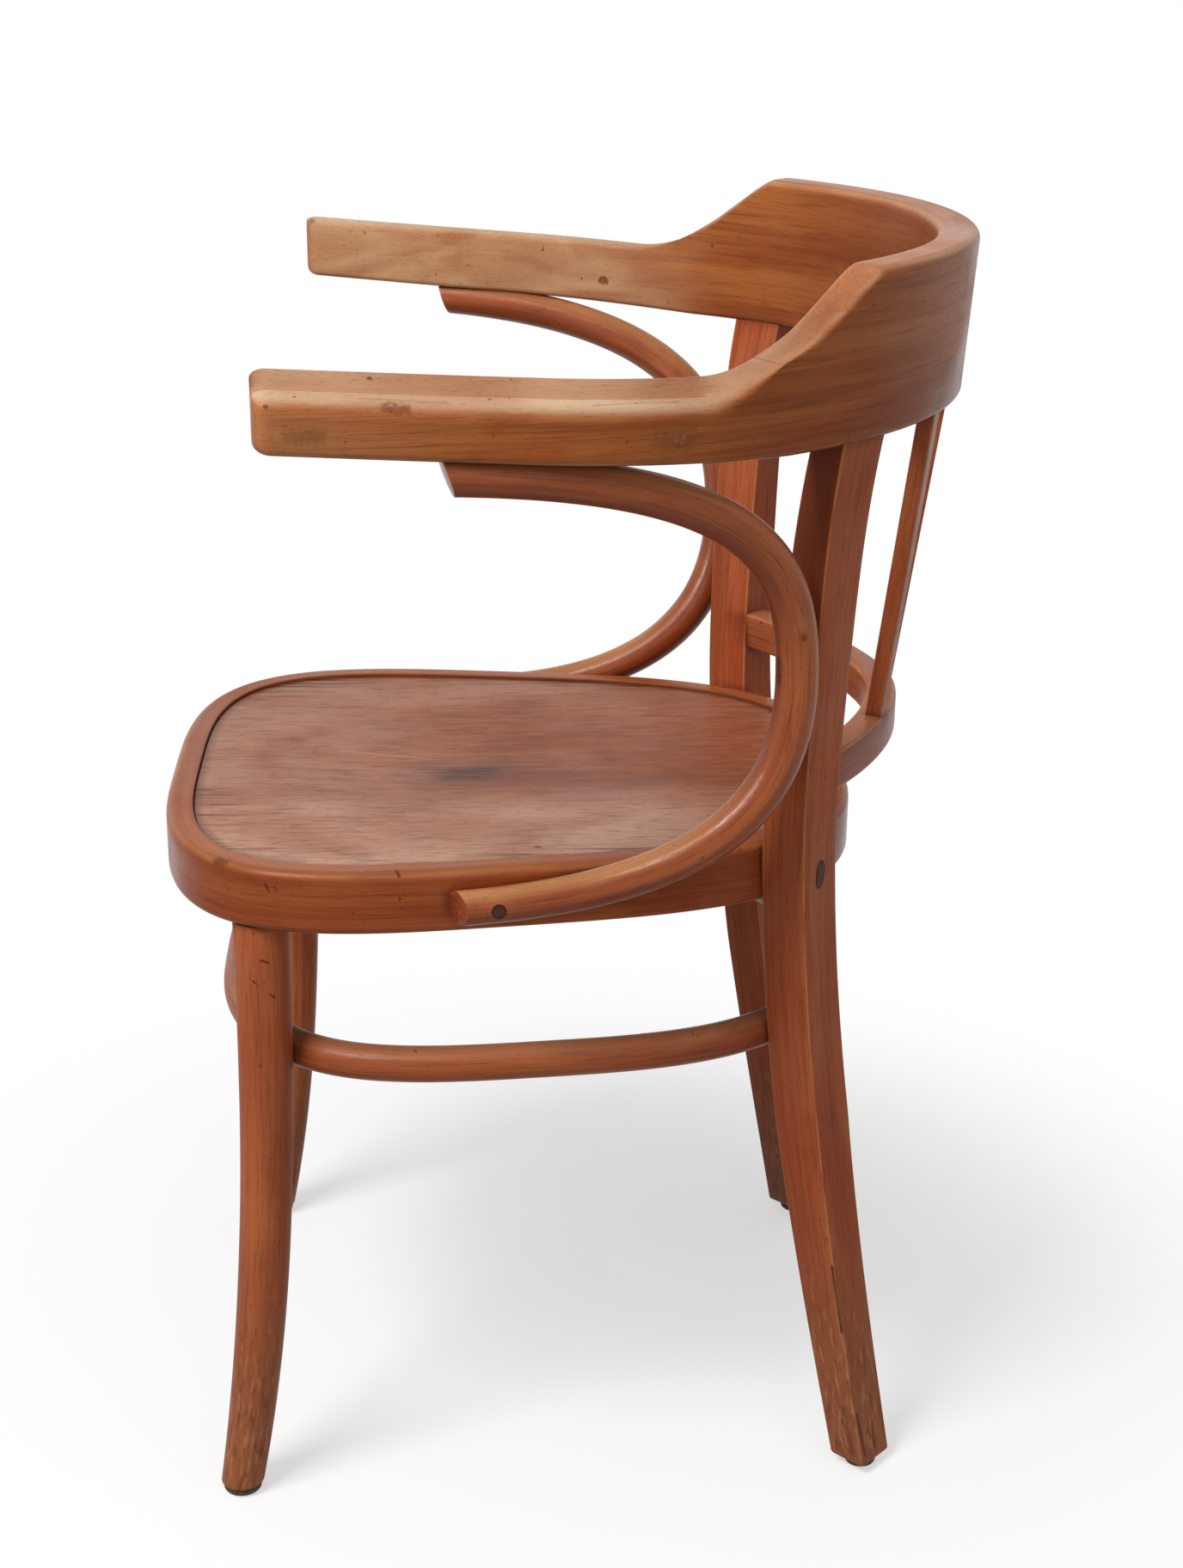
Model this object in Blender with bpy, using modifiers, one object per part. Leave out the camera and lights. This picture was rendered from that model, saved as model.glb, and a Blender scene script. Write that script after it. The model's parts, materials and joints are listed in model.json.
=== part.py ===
"""Bentwood bistro armchair: bent arm bow with a glued crest, housed back posts, hoops and a ring stretcher.

Metres, +Z up. The sitter faces -Y and sits with the left arm at +X.
"""

import math

import bmesh
import bpy
import numpy as np
from mathutils import Matrix, Vector

# Clearances
FIT = 0.0003
MERGE = 0.00001

# Seat: a bent ring with a rebate, and a dished panel that lies in it
SEAT_TOP = 0.4435
SEAT_HALF_WIDTH = 0.1935
SEAT_HALF_DEPTH = 0.2218
SEAT_SQUARENESS = 3.3
SEAT_TAPER = 0.13
SEAT_FORWARD = 0.0030
RING_HEIGHT = 0.040
RING_WIDTH = 0.031
RING_LIP = 0.017
RING_ROUND = 0.006
PANEL_THICKNESS = 0.006
PANEL_RECESS = 0.002
PANEL_DISH = 0.004

# Front legs: round, tapered, tenoned into the ring
FRONT_LEG_ANGLE = 51.8
FRONT_LEG_INSET = 0.0210
FRONT_LEG_TOP_RADIUS = 0.0175
FRONT_LEG_MID_RADIUS = 0.0164
FRONT_LEG_FOOT_RADIUS = 0.0138
FRONT_LEG_MID_SHARE = 0.5
FRONT_FOOT_SPLAY_X = 0.013
FRONT_FOOT_SPLAY_Y = 0.0265
FRONT_FOOT_SWEEP = 2.7
TENON_RADIUS = 0.009
TENON_LENGTH = 0.022

# Back posts: sawn to a curve, housed over the ring, in one piece with the back legs
POST_ANGLE = 127.6
POST_FACING = 45.0
POST_HOUSING = 0.003
POST_KNEE_HEIGHT = 0.25
POST_KNEE_X = 0.1421
POST_KNEE_Y = 0.1882
POST_FOOT_X = 0.1697
POST_FOOT_Y = 0.2283
POST_HEAD_AT = 0.2128
POST_FOOT_WIDTH = 0.0262
POST_KNEE_WIDTH = 0.0356
POST_SEAT_WIDTH = 0.0332
POST_HEAD_WIDTH = 0.0235
POST_FOOT_DEPTH = 0.0300
POST_KNEE_DEPTH = 0.0338
POST_SEAT_DEPTH = 0.0330
POST_HEAD_DEPTH = 0.0385
POST_BOW = 0.0025
POST_ARRIS = 0.0018

# Arm bow and crest rail
BOW_BOTTOM = 0.7018
BOW_HEIGHT = 0.0397
BOW_THICKNESS = 0.026
BOW_BACK_Y = 0.2675
BOW_SHOULDER_X = 0.276
BOW_SHOULDER_Y = 0.0108
BOW_SHOULDER_PULL = 0.102
BOW_BACK_PULL = 0.168
BOW_OUTER_ROUND = 0.012
BOW_INNER_ROUND = 0.006
ARM_TOP_SLOPE = 0.0095
BOW_ARRIS = 0.004
BOW_LEAN = 3.8
ARM_LENGTH = 0.1545
ARM_FLARE = 7.0
ARM_RISE = 0.0175
ARM_RISE_FROM = 0.270
ARM_RISE_EASE = 1.2
ARM_TIP_HEIGHT = 0.0372
ARM_TIP_ROUND = 0.009
CREST_TOP = 0.800
CREST_SEAM = 0.754
CREST_HALF_LENGTH = 0.209
CREST_RAMP_LENGTH = 0.118
CREST_RAMP_RISE = 1.9
CREST_RAMP_EASE = 1.35
CREST_END = 0.0015
CREST_ROUND = 0.006
CREST_ROUND_LIMIT = 0.45
CREST_BLEND = 0.040
GLUE_EDGE = 0.0002

# Lower back rail and spindles
RAIL_GAP = 0.030
RAIL_HEIGHT = 0.025
RAIL_THICKNESS = 0.020
RAIL_BACK_Y = 0.2427
RAIL_BEND = 1.85
RAIL_SETBACK = 0.002
RAIL_ARRIS = 0.003
SPINDLE_COUNT = 3
SPINDLE_SIDE = 0.0106
SPINDLE_FOOT_PITCH = 0.076
SPINDLE_HEAD_PITCH = 0.128
SPINDLE_FOOT_OUT = 0.003
SPINDLE_HEAD_OUT = 0.0065
SPINDLE_SOCKET = 0.008
SPINDLE_ARRIS = 0.0012

# Arm hoops: bent rods planed flat where they lie on the arm and the ring
HOOP_RADIUS = 0.0125
HOOP_TIP_RADIUS = 0.0118
HOOP_END_RADIUS = 0.0107
HOOP_FULL_FROM = 0.5
HOOP_FULL_TO = 1.4
HOOP_TIP_AT = 0.464
HOOP_FLAT = 0.003
HOOP_TIP_SLANT = 22.0
HOOP_TIP_HANDLE = (-0.034, 0.172, -0.010)
HOOP_REAR_HEIGHT = 0.562
HOOP_REAR_SHIFT = 0.0100
HOOP_REAR_HANDLE_UP = (0.002, 0.0, 0.075)
HOOP_REAR_HANDLE_DOWN = (-0.0023, 0.0, -0.087)
HOOP_END_Y = -0.040
HOOP_END_FLAT = 0.0015
HOOP_END_SLANT = 24.0
HOOP_END_HANDLE = (-0.0175, 0.137, 0.0025)

# Stretcher ring
STRETCHER_HEIGHT = 0.3055
STRETCHER_RADIUS = 0.0114
STRETCHER_HOUSING = 0.0015
STRETCHER_SQUARENESS = 3.1
STRETCHER_FRONT_BULGE = 0.0065

# Glides, fasteners, plugs and pins
GLIDE_RADIUS = 0.0105
GLIDE_HEIGHT = 0.006
GLIDE_EDGE = 0.0015
GLIDE_NAIL_RADIUS = 0.0015
GLIDE_NAIL_LENGTH = 0.012
DOWEL_RADIUS = 0.005
DOWEL_DEPTH = 0.018
PLUG_RADIUS = 0.0045
PLUG_DEPTH = 0.007
PLUG_STRETCH = 2.2
PLUG_UP = 0.004
HOOP_PLUG_RADIUS = 0.0045
HOOP_PLUG_DEPTH = 0.004
HOOP_PLUG_Y = -0.016
SCREW_RADIUS = 0.0022
SCREW_HEAD_RADIUS = 0.0040
SCREW_HEAD_DEPTH = 0.0025
SCREW_BITE = 0.016
ARM_SCREW_AT = 0.425
ARM_PIN_AT = 0.342
ARM_PIN_RADIUS = 0.004
ARM_PIN_UP = 0.015

# Facet counts
TIP_STEPS = 3
RING_STEPS = 64
BOW_STEPS = 52
CREST_STEPS = 44
POST_STEPS = 20
LEG_STEPS = 14
HOOP_STEPS = 16
STRETCHER_STEPS = 56
RAIL_STEPS = 18
PANEL_RINGS = 3
TURN_STEPS = 10
FINE_STEPS = 2000
SLOPE_STEP = 0.004

RING_BOTTOM = SEAT_TOP - RING_HEIGHT
RING_MIDDLE = SEAT_TOP - RING_HEIGHT / 2
PANEL_TOP = SEAT_TOP - PANEL_RECESS
LEDGE_TOP = PANEL_TOP - PANEL_THICKNESS - FIT
RAIL_TOP = SEAT_TOP + RAIL_GAP + RAIL_HEIGHT
FOOT_CUT = GLIDE_HEIGHT + FIT
SIDES = (("left", 1), ("right", -1))

for old in list(bpy.data.objects):
    bpy.data.objects.remove(old)
PARTS = bpy.data.collections.new("bistro_chair")
CUTTERS = bpy.data.collections.new("cutters")
bpy.context.scene.collection.children.link(PARTS)
bpy.context.scene.collection.children.link(CUTTERS)
ROOT = bpy.data.objects.new("chair_origin", None)
PARTS.objects.link(ROOT)


# Materials

def material(name, colour, roughness, metallic=0.0):
    """A plain surface with one colour."""
    made = bpy.data.materials.new(name)
    made.use_nodes = True
    shader = made.node_tree.nodes["Principled BSDF"]
    shader.inputs["Base Color"].default_value = (*colour, 1.0)
    shader.inputs["Roughness"].default_value = roughness
    shader.inputs["Metallic"].default_value = metallic
    return made


ARM_WOOD = material("arm_beech", (0.43, 0.20, 0.075), 0.42)
FRAME_WOOD = material("frame_beech", (0.33, 0.105, 0.042), 0.40)
SEAT_WOOD = material("seat_plywood", (0.28, 0.095, 0.048), 0.45)
PLUG_WOOD = material("plug_wood", (0.17, 0.055, 0.025), 0.50)
STEEL = material("screw_steel", (0.32, 0.30, 0.27), 0.45, 1.0)
RUBBER = material("glide_rubber", (0.055, 0.045, 0.030), 0.70)


# Objects

def place(thing, surface=None):
    """Put an object among the parts, or among the cutters when it has no surface."""
    thing.parent = ROOT
    if surface is None:
        CUTTERS.objects.link(thing)
        thing.hide_render = True
        thing.display_type = "WIRE"
    else:
        PARTS.objects.link(thing)
        thing.data.materials.append(surface)
    return thing


def finish_mesh(name, shape, surface, sharp=35.0):
    """Make an object from a closed bmesh, shaded smooth up to its sharp edges."""
    bmesh.ops.remove_doubles(shape, verts=shape.verts, dist=MERGE)
    bmesh.ops.recalc_face_normals(shape, faces=shape.faces)
    mesh = bpy.data.meshes.new(name)
    shape.to_mesh(mesh)
    shape.free()
    mesh.shade_smooth()
    mesh.set_sharp_from_angle(angle=math.radians(sharp))
    return place(bpy.data.objects.new(name, mesh), surface)


def loft(name, rings, surface):
    """Skin a row of point rings with equal counts and close both ends."""
    shape = bmesh.new()
    rows = [[shape.verts.new(point) for point in ring] for ring in rings]
    count = len(rows[0])
    for low, high in zip(rows, rows[1:]):
        for i in range(count):
            shape.faces.new((low[i], low[i - 1], high[i - 1], high[i]))
    shape.faces.new(rows[0])
    shape.faces.new(rows[-1])
    return finish_mesh(name, shape, surface)


def curve(name, points, cyclic=False, radii=None):
    """A straight-segment path through points."""
    data = bpy.data.curves.new(name, "CURVE")
    data.dimensions = "3D"
    data.twist_mode = "Z_UP"
    data.use_fill_caps = True
    spline = data.splines.new("POLY")
    spline.points.add(len(points) - 1)
    for knot, point in zip(spline.points, points):
        knot.co = (*point, 1.0)
    for i, radius in enumerate(radii or ()):
        spline.points[i].radius = radius
    spline.use_cyclic_u = cyclic
    made = bpy.data.objects.new(name, data)
    bpy.context.scene.collection.objects.link(made)
    return made


def curve_shape(path):
    """The welded solid of a curve object, which is removed."""
    solid = bpy.data.meshes.new_from_object(path.evaluated_get(bpy.context.evaluated_depsgraph_get()))
    data = path.data
    bpy.data.objects.remove(path)
    bpy.data.curves.remove(data)
    shape = bmesh.new()
    shape.from_mesh(solid)
    bpy.data.meshes.remove(solid)
    bmesh.ops.remove_doubles(shape, verts=shape.verts, dist=MERGE)
    return shape


def rod(points, radii, cyclic=False, sides=12):
    """A round bar along points, as a bmesh."""
    path = curve("rod_path", points, cyclic, radii)
    path.data.bevel_depth = 1.0
    path.data.bevel_resolution = sides // 2 - 2
    return curve_shape(path)


def sweep(points, section, cyclic=False):
    """A section drawn as (outward, up) points and carried along a counter-clockwise path, as a bmesh."""
    outline = curve("section", [(x, y, 0.0) for x, y in section], True)
    outline.data.dimensions = "2D"
    path = curve("sweep_path", points, cyclic)
    path.data.bevel_mode = "OBJECT"
    path.data.bevel_object = outline
    shape = curve_shape(path)
    bpy.data.objects.remove(outline)
    return shape


def prism(name, outline, bottom, top, surface=None):
    """A flat outline filled and extruded between two heights."""
    flat = curve("prism_outline", [(p.x, p.y, 0.0) for p in outline], True)
    flat.data.dimensions = "2D"
    flat.data.fill_mode = "BOTH"
    flat.data.extrude = (top - bottom) / 2
    shape = curve_shape(flat)
    bmesh.ops.translate(shape, verts=shape.verts, vec=(0.0, 0.0, (top + bottom) / 2))
    return finish_mesh(name, shape, surface)


def turned(name, profile, tip, axis, surface=None, steps=TURN_STEPS):
    """A profile of (radius, depth) points turned about an axis that runs into the wood from tip."""
    mesh = bpy.data.meshes.new(name)
    points = [(radius, 0.0, -depth) for radius, depth in profile]
    mesh.from_pydata(points, [(i, i + 1) for i in range(len(points) - 1)], [])
    made = bpy.data.objects.new(name, mesh)
    spin = made.modifiers.new("Turn", "SCREW")
    spin.steps = steps
    spin.render_steps = steps
    spin.use_merge_vertices = True
    spin.merge_threshold = MERGE
    spin.use_smooth_shade = False
    made.location = tip
    made.rotation_euler = Vector(axis).to_track_quat("-Z", "Y").to_euler()
    return place(made, surface)


def cylinder(radius, start, end):
    """Profile of a plain pin between two depths."""
    return ((0.0, start), (radius, start), (radius, end), (0.0, end))


def screw_profile(length, grow=0.0):
    """Profile of a countersunk screw, or of its hole when grown by the clearance."""
    head = SCREW_HEAD_RADIUS + grow
    shank = SCREW_RADIUS + grow
    depth = SCREW_HEAD_DEPTH + grow
    end = length + grow
    return ((0.0, -grow), (head, -grow), (head, grow), (shank, depth), (shank, end), (0.0, end))


def cut(target, *cutters):
    """Take each cutter's volume out of the target."""
    for cutter in cutters:
        step = target.modifiers.new("Cut " + cutter.name, "BOOLEAN")
        step.object = cutter
        step.operation = "DIFFERENCE"
        step.solver = "EXACT"


def trim(shape, point, normal, reach):
    """Saw off what lies ahead of a plane, within reach of a point on it, and close the cut."""
    faces = [face for face in shape.faces if (face.calc_center_median() - point).length < reach]
    edges = {edge for face in faces for edge in face.edges}
    verts = {vert for face in faces for vert in face.verts}
    near = [*verts, *edges, *faces]
    cut_edges = bmesh.ops.bisect_plane(shape, geom=near, plane_co=point, plane_no=normal, clear_outer=True)
    rim = [item for item in cut_edges["geom_cut"] if isinstance(item, bmesh.types.BMEdge)]
    bmesh.ops.contextual_create(shape, geom=rim)


# Curves that the pieces share

def bezier(start, start_handle, end_handle, end, t):
    """Point on a cubic curve."""
    a, b, c, d = (Vector(point) for point in (start, start_handle, end_handle, end))
    return a * (1 - t) ** 3 + b * 3 * t * (1 - t) ** 2 + c * 3 * t * t * (1 - t) + d * t ** 3


def bent_ring(angle, half_width, half_depth, squareness, taper):
    """Point on a rounded, tapered ring. Angle 0 is its front, 90 degrees its left side."""
    across = math.sin(angle)
    along = -math.cos(angle)
    y = math.copysign(abs(along) ** (2 / squareness), along) * half_depth
    x = math.copysign(abs(across) ** (2 / squareness), across) * (half_width - taper * y)
    return Vector((x, y, 0.0))


def seat_point(angle):
    """Point on the seat ring's outer outline."""
    spot = bent_ring(angle, SEAT_HALF_WIDTH, SEAT_HALF_DEPTH, SEAT_SQUARENESS, SEAT_TAPER)
    return spot - Vector((0.0, SEAT_FORWARD, 0.0))


def seat_normal(angle):
    """Direction straight out of the seat ring's outline."""
    step = SLOPE_STEP / SEAT_HALF_DEPTH
    run = seat_point(angle + step) - seat_point(angle - step)
    return Vector((run.y, -run.x, 0.0)).normalized()


def seat_angle_at(y):
    """Angle of the outline's left point at a distance along the seat."""
    from_middle = y + SEAT_FORWARD
    share = abs(from_middle / SEAT_HALF_DEPTH) ** (SEAT_SQUARENESS / 2)
    return math.acos(-math.copysign(share, from_middle))


def seat_outline(outward=0.0):
    """The seat ring's outline moved outward, evenly spaced and counter-clockwise."""
    turn = np.linspace(0.0, 2 * math.pi, FINE_STEPS + 1)
    fine = [seat_point(angle) for angle in turn]
    run = np.concatenate([[0.0], np.cumsum([(b - a).length for a, b in zip(fine, fine[1:])])])
    angles = np.interp(np.linspace(0.0, run[-1], RING_STEPS, endpoint=False), run, turn)
    return [seat_point(a) + seat_normal(a) * outward for a in angles]


def half_bow():
    """Distances and points of the bow's middle line from the back's centre to the left arm's tip."""
    flare = math.radians(ARM_FLARE)
    shoulder = Vector((BOW_SHOULDER_X, BOW_SHOULDER_Y, 0.0))
    forward = Vector((math.sin(flare), -math.cos(flare), 0.0))
    back = Vector((0.0, BOW_BACK_Y, 0.0))
    handles = (back + Vector((BOW_BACK_PULL, 0.0, 0.0)), shoulder - forward * BOW_SHOULDER_PULL)
    points = [bezier(back, *handles, shoulder, i / FINE_STEPS) for i in range(FINE_STEPS + 1)]
    points.append(shoulder + forward * ARM_LENGTH)
    return np.concatenate([[0.0], np.cumsum([(b - a).length for a, b in zip(points, points[1:])])]), points


BOW_RUN, BOW_POINTS = half_bow()
BOW_TIP_AT = BOW_RUN[-1]
BOW_X = [point.x for point in BOW_POINTS]
BOW_Y = [point.y for point in BOW_POINTS]


def bow_point(at):
    """Point of the bow's middle line at a signed distance from the back's centre."""
    x = np.interp(abs(at), BOW_RUN, BOW_X)
    return Vector((math.copysign(x, at), np.interp(abs(at), BOW_RUN, BOW_Y), 0.0))


def bow_normal(at):
    """Direction straight out of the bow."""
    run = bow_point(at + SLOPE_STEP) - bow_point(at - SLOPE_STEP)
    return Vector((-run.y, run.x, 0.0)).normalized()


def arm_share(at):
    """How far along the rising arm a place lies, from 0 to 1."""
    return min(max((abs(at) - ARM_RISE_FROM) / (BOW_TIP_AT - ARM_RISE_FROM), 0.0), 1.0)


def bow_bottom(at):
    """Height of the bow's underside."""
    return BOW_BOTTOM + ARM_RISE * arm_share(at) ** ARM_RISE_EASE


def arm_top(at):
    """Height of the arm's upper face, before it ramps up to the crest."""
    return bow_bottom(at) + BOW_HEIGHT + (ARM_TIP_HEIGHT - BOW_HEIGHT) * arm_share(at)


def top_line(at):
    """Height of the chair's upper edge: arm, ramp and crest."""
    share = (CREST_HALF_LENGTH + CREST_RAMP_LENGTH - abs(at)) / CREST_RAMP_LENGTH
    share = min(max(share, 0.0), 1.0)
    rise = 1 - (1 - share ** CREST_RAMP_RISE) ** CREST_RAMP_EASE
    return arm_top(at) + (CREST_TOP - arm_top(at)) * rise


def crest_end():
    """Distance at which the ramp leaves the glued seam."""
    low, high = CREST_HALF_LENGTH, CREST_HALF_LENGTH + CREST_RAMP_LENGTH
    for _ in range(40):
        middle = (low + high) / 2
        if top_line(middle) > CREST_SEAM + CREST_END:
            low = middle
        else:
            high = middle
    return low


CREST_END_AT = crest_end()


def lean(at, height):
    """Outward shift of the leaning back at a height above the bow's underside."""
    return math.tan(math.radians(BOW_LEAN)) * (1 - arm_share(at)) * height


def rounded(width, height, bottom_round, top_round, steps=2, inner_round=None, slope=0.0):
    """A rounded rectangle as (outward, up) points on its bottom edge. Its top may slope down outward."""
    inner_round = top_round if inner_round is None else inner_round
    corners = (
        (1, bottom_round, bottom_round, -90),
        (1, height - slope / 2 - top_round, top_round, 0),
        (-1, height + slope / 2 - inner_round, inner_round, 90),
        (-1, bottom_round, bottom_round, 180),
    )
    points = []
    for side, centre_y, radius, start in corners:
        centre_x = side * (width / 2 - radius)
        for i in range(steps + 1):
            turn = math.radians(start + 90 * i / steps)
            points.append((centre_x + radius * math.cos(turn), centre_y + radius * math.sin(turn)))
    return points


def bow_ring(at, bottom, section):
    """A section stood across the bow at a distance, leaning with the back."""
    centre = bow_point(at)
    out = bow_normal(at)
    base = bottom - bow_bottom(at)
    ring = []
    for across, up in section:
        level = Vector((0.0, 0.0, bottom + up))
        ring.append(centre + out * (across + lean(at, base + up)) + level)
    return ring


# Arm bow and crest

def bow_stations():
    """Distances along the bow with the inset left by its rounded tips."""
    inner = BOW_TIP_AT - ARM_TIP_ROUND
    places = [inner * (2 * i / BOW_STEPS - 1) for i in range(BOW_STEPS + 1)]
    stations = [(at, 0.0) for at in sorted(places + [-CREST_END_AT, CREST_END_AT])]
    for i in range(1, TIP_STEPS + 1):
        turn = math.radians(90 * i / TIP_STEPS)
        end = (inner + ARM_TIP_ROUND * math.sin(turn), ARM_TIP_ROUND * (1 - math.cos(turn)))
        stations.append(end)
        stations.insert(0, (-end[0], end[1]))
    return stations


def bow_rings(grow=0.0):
    """Sections of the arm bow from tip to tip."""
    rings = []
    for at, inset in bow_stations():
        bottom = bow_bottom(at) - grow
        on_ramp = abs(at) < CREST_HALF_LENGTH + CREST_RAMP_LENGTH
        top = min(top_line(at), CREST_SEAM) if on_ramp else top_line(at)
        width = BOW_THICKNESS + 2 * grow - 2 * inset
        blend = min(max((abs(at) - CREST_END_AT) / CREST_BLEND, 0.0), 1.0)
        outer = GLUE_EDGE + (BOW_OUTER_ROUND - GLUE_EDGE) * blend - inset
        inner = GLUE_EDGE + (BOW_INNER_ROUND - GLUE_EDGE) * blend - inset / 2
        height = top + grow - bottom - inset
        section = rounded(width, height, BOW_ARRIS, outer, 2, inner, ARM_TOP_SLOPE * blend)
        rings.append(bow_ring(at, bottom + inset / 2, section))
    return rings


def crest_rings():
    """Sections of the crest rail above the glued seam."""
    rings = []
    for i in range(CREST_STEPS + 1):
        at = CREST_END_AT * (2 * i / CREST_STEPS - 1)
        bottom = CREST_SEAM + FIT
        height = top_line(at) - bottom
        section = rounded(BOW_THICKNESS, height, GLUE_EDGE, min(CREST_ROUND, height * CREST_ROUND_LIMIT))
        rings.append(bow_ring(at, bottom, section))
    return rings


# Back posts

POST_TURN = math.radians(POST_ANGLE)
POST_OUT = Vector((math.cos(math.radians(POST_FACING)), math.sin(math.radians(POST_FACING)), 0.0))
POST_FACE = Vector((POST_OUT.y, -POST_OUT.x, 0.0))
POST_HEAD = BOW_BOTTOM - FIT


def post_knots():
    """Four places that the left post's middle line runs through, foot to head."""
    seat = seat_point(POST_TURN) + POST_OUT * (POST_SEAT_WIDTH / 2 - POST_HOUSING)
    head = bow_point(POST_HEAD_AT)
    return (
        Vector((POST_FOOT_X, POST_FOOT_Y, 0.0)),
        Vector((POST_KNEE_X, POST_KNEE_Y, POST_KNEE_HEIGHT)),
        Vector((seat.x, seat.y, RING_MIDDLE)),
        Vector((head.x, head.y, POST_HEAD)),
    )


POST_KNOTS = post_knots()


def post_centre(height):
    """Point of the left post's middle line: one cubic through the four knots, bowed back above the seat."""
    above = max((height - RING_MIDDLE) / (POST_HEAD - RING_MIDDLE), 0.0)
    spot = Vector((0.0, POST_BOW * math.sin(math.pi * above) ** 2, height))
    for knot in POST_KNOTS:
        share = 1.0
        for other in POST_KNOTS:
            if other is not knot:
                share *= (height - other.z) / (knot.z - other.z)
        spot.x += knot.x * share
        spot.y += knot.y * share
    return spot


def post_size(height):
    """Width and depth of the post: wide where it is housed over the ring, deep again at its head."""
    heights = (0.0, POST_KNEE_HEIGHT, RING_MIDDLE, POST_HEAD)
    width = np.interp(height, heights, (POST_FOOT_WIDTH, POST_KNEE_WIDTH, POST_SEAT_WIDTH, POST_HEAD_WIDTH))
    depth = np.interp(height, heights[:3], (POST_FOOT_DEPTH, POST_KNEE_DEPTH, POST_SEAT_DEPTH))
    flare = max((height - RING_MIDDLE) / (POST_HEAD - RING_MIDDLE), 0.0) ** 2
    return float(width), float(depth + (POST_HEAD_DEPTH - POST_SEAT_DEPTH) * flare)


def mirrored(point, side):
    """A left-hand place, or its mirror image on the right."""
    return Vector((point[0] * side, point[1], point[2]))


def post_rings(side):
    """Level sections of one post."""
    rings = []
    for i in range(POST_STEPS + 1):
        height = FOOT_CUT + (POST_HEAD - FOOT_CUT) * i / POST_STEPS
        width, depth = post_size(height)
        centre = post_centre(height)
        ring = []
        for across, up in rounded(width, depth, POST_ARRIS, POST_ARRIS, 1):
            point = centre + POST_OUT * across + POST_FACE * (up - depth / 2)
            ring.append(mirrored(point, side))
        rings.append(ring)
    return rings


# Front legs

FRONT_TURN = math.radians(FRONT_LEG_ANGLE)
FRONT_TOP = seat_point(FRONT_TURN) - seat_normal(FRONT_TURN) * FRONT_LEG_INSET
LEG_SHOULDER = RING_BOTTOM - FIT


def front_leg_centre(height):
    """Point of the left front leg's middle line, straight above and swept out at the foot."""
    sweep_share = max(1 - height / LEG_SHOULDER, 0.0) ** FRONT_FOOT_SWEEP
    shift = Vector((FRONT_FOOT_SPLAY_X, -FRONT_FOOT_SPLAY_Y, 0.0)) * sweep_share
    return FRONT_TOP + shift + Vector((0.0, 0.0, height))


def front_leg_radius(height):
    """Radius of the leg, drawn in toward the foot."""
    middle = LEG_SHOULDER * FRONT_LEG_MID_SHARE
    above = max(height - middle, 0.0) / (LEG_SHOULDER - middle)
    below = max(1 - height / middle, 0.0)
    swell = (FRONT_LEG_TOP_RADIUS - FRONT_LEG_MID_RADIUS) * above
    return FRONT_LEG_MID_RADIUS + swell - (FRONT_LEG_MID_RADIUS - FRONT_LEG_FOOT_RADIUS) * below ** 2


def front_leg(name, side):
    """One leg with its shoulder and round tenon, sawn level at the foot."""
    heights = [LEG_SHOULDER * i / LEG_STEPS for i in range(LEG_STEPS + 1)]
    points = [front_leg_centre(h) for h in heights]
    radii = [front_leg_radius(h) for h in heights]
    slope = points[0] - points[1]
    points.insert(0, points[0] + slope.normalized() * GLIDE_HEIGHT)
    radii.insert(0, radii[0])
    for level in (LEG_SHOULDER + MERGE * 2, LEG_SHOULDER + TENON_LENGTH):
        points.append(Vector((FRONT_TOP.x, FRONT_TOP.y, level)))
        radii.append(TENON_RADIUS)
    shape = rod([mirrored(p, side) for p in points], radii, sides=16)
    foot = mirrored(front_leg_centre(FOOT_CUT), side)
    trim(shape, foot, (0.0, 0.0, -1.0), 4 * FRONT_LEG_FOOT_RADIUS)
    return finish_mesh(name, shape, FRAME_WOOD)


# Seat ring and panel

def ring_section():
    """The ring's section: rounded outer edges, a lip and a ledge for the panel."""
    lip = -RING_LIP
    outer = [(-RING_ROUND + RING_ROUND * math.cos(a), RING_ROUND * (math.sin(a) - 1)) for a in
             (math.radians(step) for step in (0, 30, 60, 90))]
    top = [(x, RING_HEIGHT + z) for x, z in outer]
    bottom = [(x, -z) for x, z in reversed(outer)]
    ledge = LEDGE_TOP - RING_BOTTOM
    return bottom + top + [(lip, RING_HEIGHT), (lip, ledge), (-RING_WIDTH, ledge), (-RING_WIDTH, 0.0)]


def seat_ring():
    """The bent ring, swept round the seat."""
    path = [point + Vector((0.0, 0.0, RING_BOTTOM)) for point in seat_outline()]
    return finish_mesh("seat_ring", sweep(path, ring_section(), True), FRAME_WOOD)


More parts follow.
